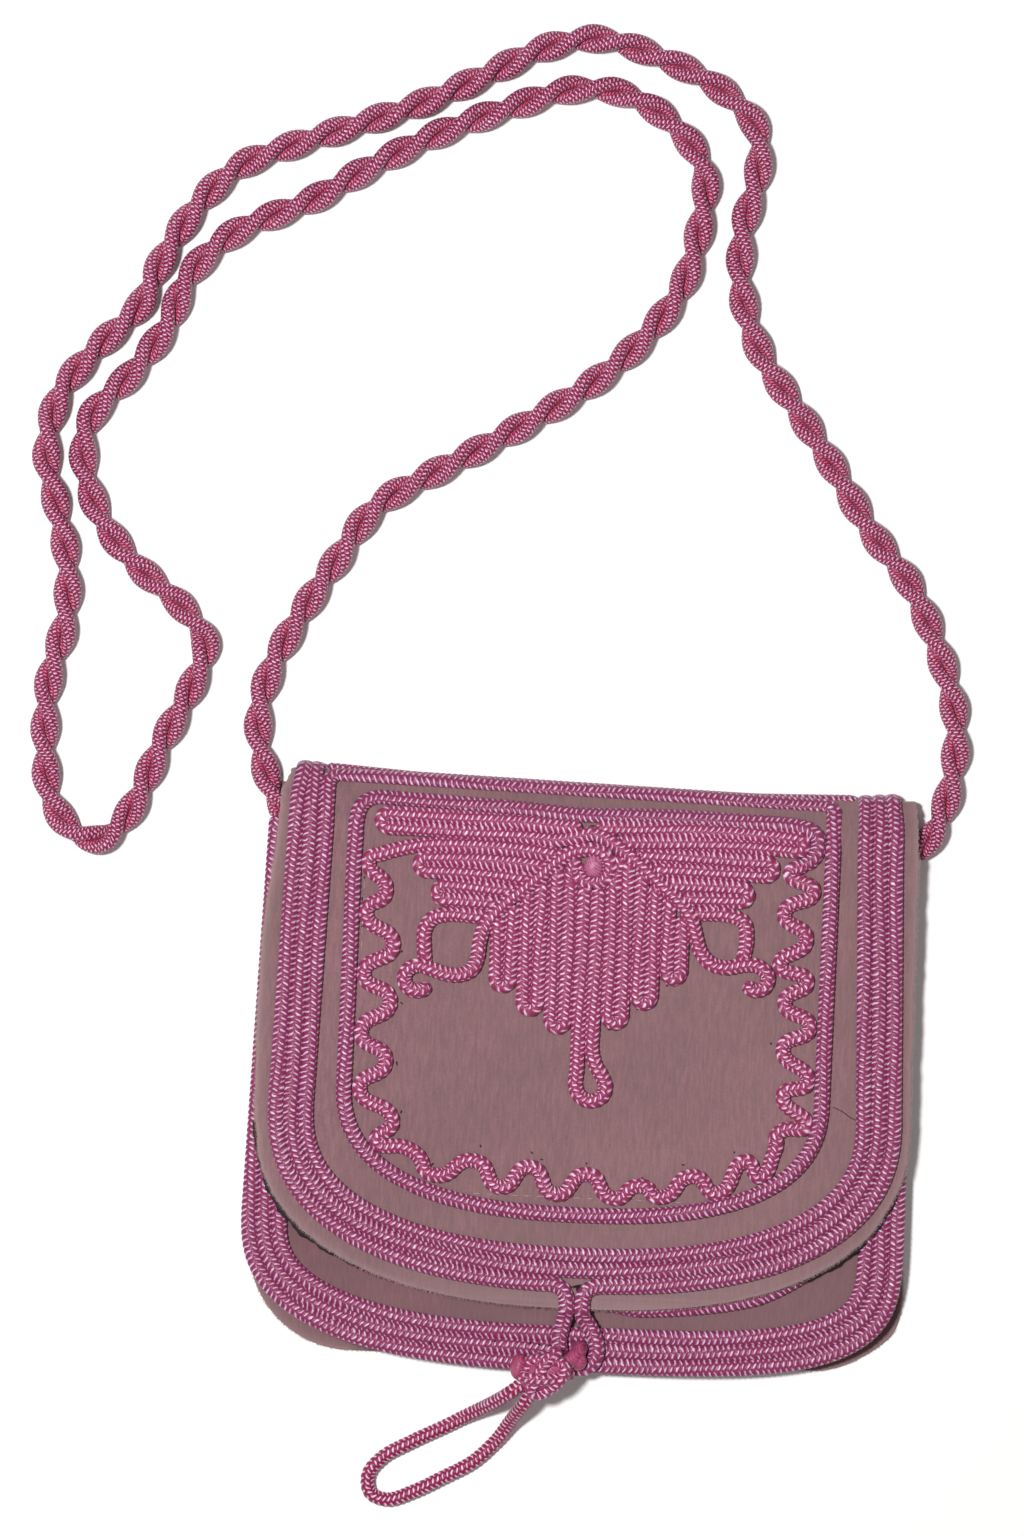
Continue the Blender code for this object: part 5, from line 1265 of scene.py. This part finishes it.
# %% Satin and plain finishes
def satin_material(name, dark, light, scale):
    """Smooth thread wound tight: a bent wave along it and specks pick the colour."""
    material, tree, shader = new_material(name)
    place = object_place(tree)
    wave = {"Vector": place, "Scale": scale, "Distortion": 3.0, "Detail": 2.0}
    thread = node(tree, "ShaderNodeTexWave", wave, bands_direction="DIAGONAL").outputs["Fac"]
    tone = math_node(tree, "ADD", math_node(tree, "MULTIPLY", thread, 0.5), noise(tree, place, 700.0))
    feed(tree, shader, {"Base Color": ramp(tree, tone, [(0.35, dark), (1.0, light)]), "Roughness": 0.45,
                        "Normal": bump(tree, tone, 0.4, 0.0002)})
    return material


def plain_material(name, colour, roughness):
    """One colour, for threads, fuzz and the painted shadow under the flap's edge."""
    material, tree, shader = new_material(name)
    feed(tree, shader, {"Base Color": (*colour, 1.0), "Roughness": roughness})
    return material


satin_thread = satin_material("satin_thread", (0.24, 0.018, 0.065), (0.46, 0.085, 0.20), 700.0)
wound_ball = satin_material("wound_ball", (0.34, 0.045, 0.13), (0.56, 0.19, 0.33), 620.0)
finishes = {"dark": plain_material("dark_thread_and_gap_shadow", (0.018, 0.011, 0.013), 0.8),
            "pale": plain_material("pale_thread", (0.46, 0.34, 0.33), 0.7),
            "fuzz": plain_material("suede_fuzz", (0.36, 0.235, 0.24), 0.95)}
print("materials:", len(bpy.data.materials))

# %% [markdown]
# Each piece gets its finish and rides the bag or the flap. What crosses the fold
# has its place baked into its points and rides neither.

# %% Dress and attach the pieces
# These cords take the darker copy of the braid, which is painted shade.
SHADED_CORDS = ("edge_cord", "front_", "frame_and", "top_cord")
for name, (piece, body, across_fold) in made.items():
    if name.endswith("suede"):
        finish = mauve_suede
    elif name.endswith("braid"):
        finish = edge_cord if name.startswith(SHADED_CORDS) else rose_cord
    else:
        finish = wound_ball if name == "ring_ball_satin" else satin_thread
    piece.data.materials.append(finish)
    if across_fold:
        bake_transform(piece)
    else:
        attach(piece, body)

for piece, finish, body in extras:
    piece.data.materials.append(finishes[finish])
    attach(piece, body)
print("blended across the fold:", sum(across for piece, body, across in made.values()))

# %% [markdown]
# The strap's two plies become one piece. The strap and the pull loop take the
# free braid's finish and ride the bag.

# %% Free cords
for piece in plies + [pull]:
    piece.data.materials.append(free_cord)
bpy.ops.object.select_all(action="DESELECT")
for piece in plies:
    piece.select_set(True)
bpy.context.view_layer.objects.active = plies[0]
bpy.ops.object.join()
strap = plies[0]
strap.name = "strap_rope_braid"
for piece, node_name in ((strap, "strap_rope"), (pull, "pull_loop")):
    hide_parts(node_name)
    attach(piece, "bag")

# %% [markdown]


# %% [markdown]
# The floor is a pale plane. Towards the camera and in reflections it also gives off
# a little light, so that it reads as white while it still takes the purse's shadow.

# %% Floor
FLOOR_HALF = 3
floor_corners = FLOOR_HALF * np.array([(-1, -1, 0), (1, -1, 0), (1, 1, 0), (-1, 1, 0)])
floor = new_piece("floor", floor_corners, [(0, 1, 2, 3)])
floor.location.z = -0.0001
white, tree, shader = new_material("pale_floor")
rays = node(tree, "ShaderNodeLightPath").outputs
seen = math_node(tree, "MAXIMUM", rays["Is Camera Ray"],
                 math_node(tree, "MAXIMUM", rays["Is Glossy Ray"], rays["Is Transmission Ray"]))
feed(tree, shader, {"Base Color": (0.96, 0.95, 0.94, 1), "Roughness": 0.9, "Emission Color": (1, 1, 1, 1),
                    "Emission Strength": math_node(tree, "MULTIPLY", seen, 0.035)})
floor.data.materials.append(white)
print("floor: %d m wide" % (2 * FLOOR_HALF))

# %% [markdown]
# One small lamp high on the left throws the shadows. A large weak one and the pale
# world fill them. Both lamps are aimed at a place near the purse's middle.

# %% Light
LAMPS = (("key", (-0.36, 0.20, 1.45), 0.14, 21.7), ("fill", (0.6, -0.6, 1.3), 1.0, 1.2))
AIM = np.array([0, 0.05, 0])
world = bpy.data.worlds.new("studio")
bpy.context.scene.world = world
world.use_nodes = True
feed(world.node_tree, world.node_tree.nodes["Background"], {"Color": (1, 0.97, 0.94, 1), "Strength": 0.15})
for name, place, size, power in LAMPS:
    lamp = bpy.data.lights.new(name, "AREA")
    lamp.size = size
    lamp.energy = power
    holder = bpy.data.objects.new(name, lamp)
    holder.location = place
    x, y, z = AIM - np.array(place)
    holder.rotation_euler = (math.atan2(math.hypot(x, y), -z), 0, math.atan2(y, x) - math.pi / 2)
    bpy.context.collection.objects.link(holder)
bpy.context.scene.view_settings.view_transform = "Standard"
print("lamps:", len(LAMPS))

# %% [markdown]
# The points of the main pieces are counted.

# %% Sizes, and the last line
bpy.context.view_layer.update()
points = sum(len(piece.data.vertices) for piece, body, across in made.values())
print("the main pieces have %d points, and about twice as many triangles" % points)
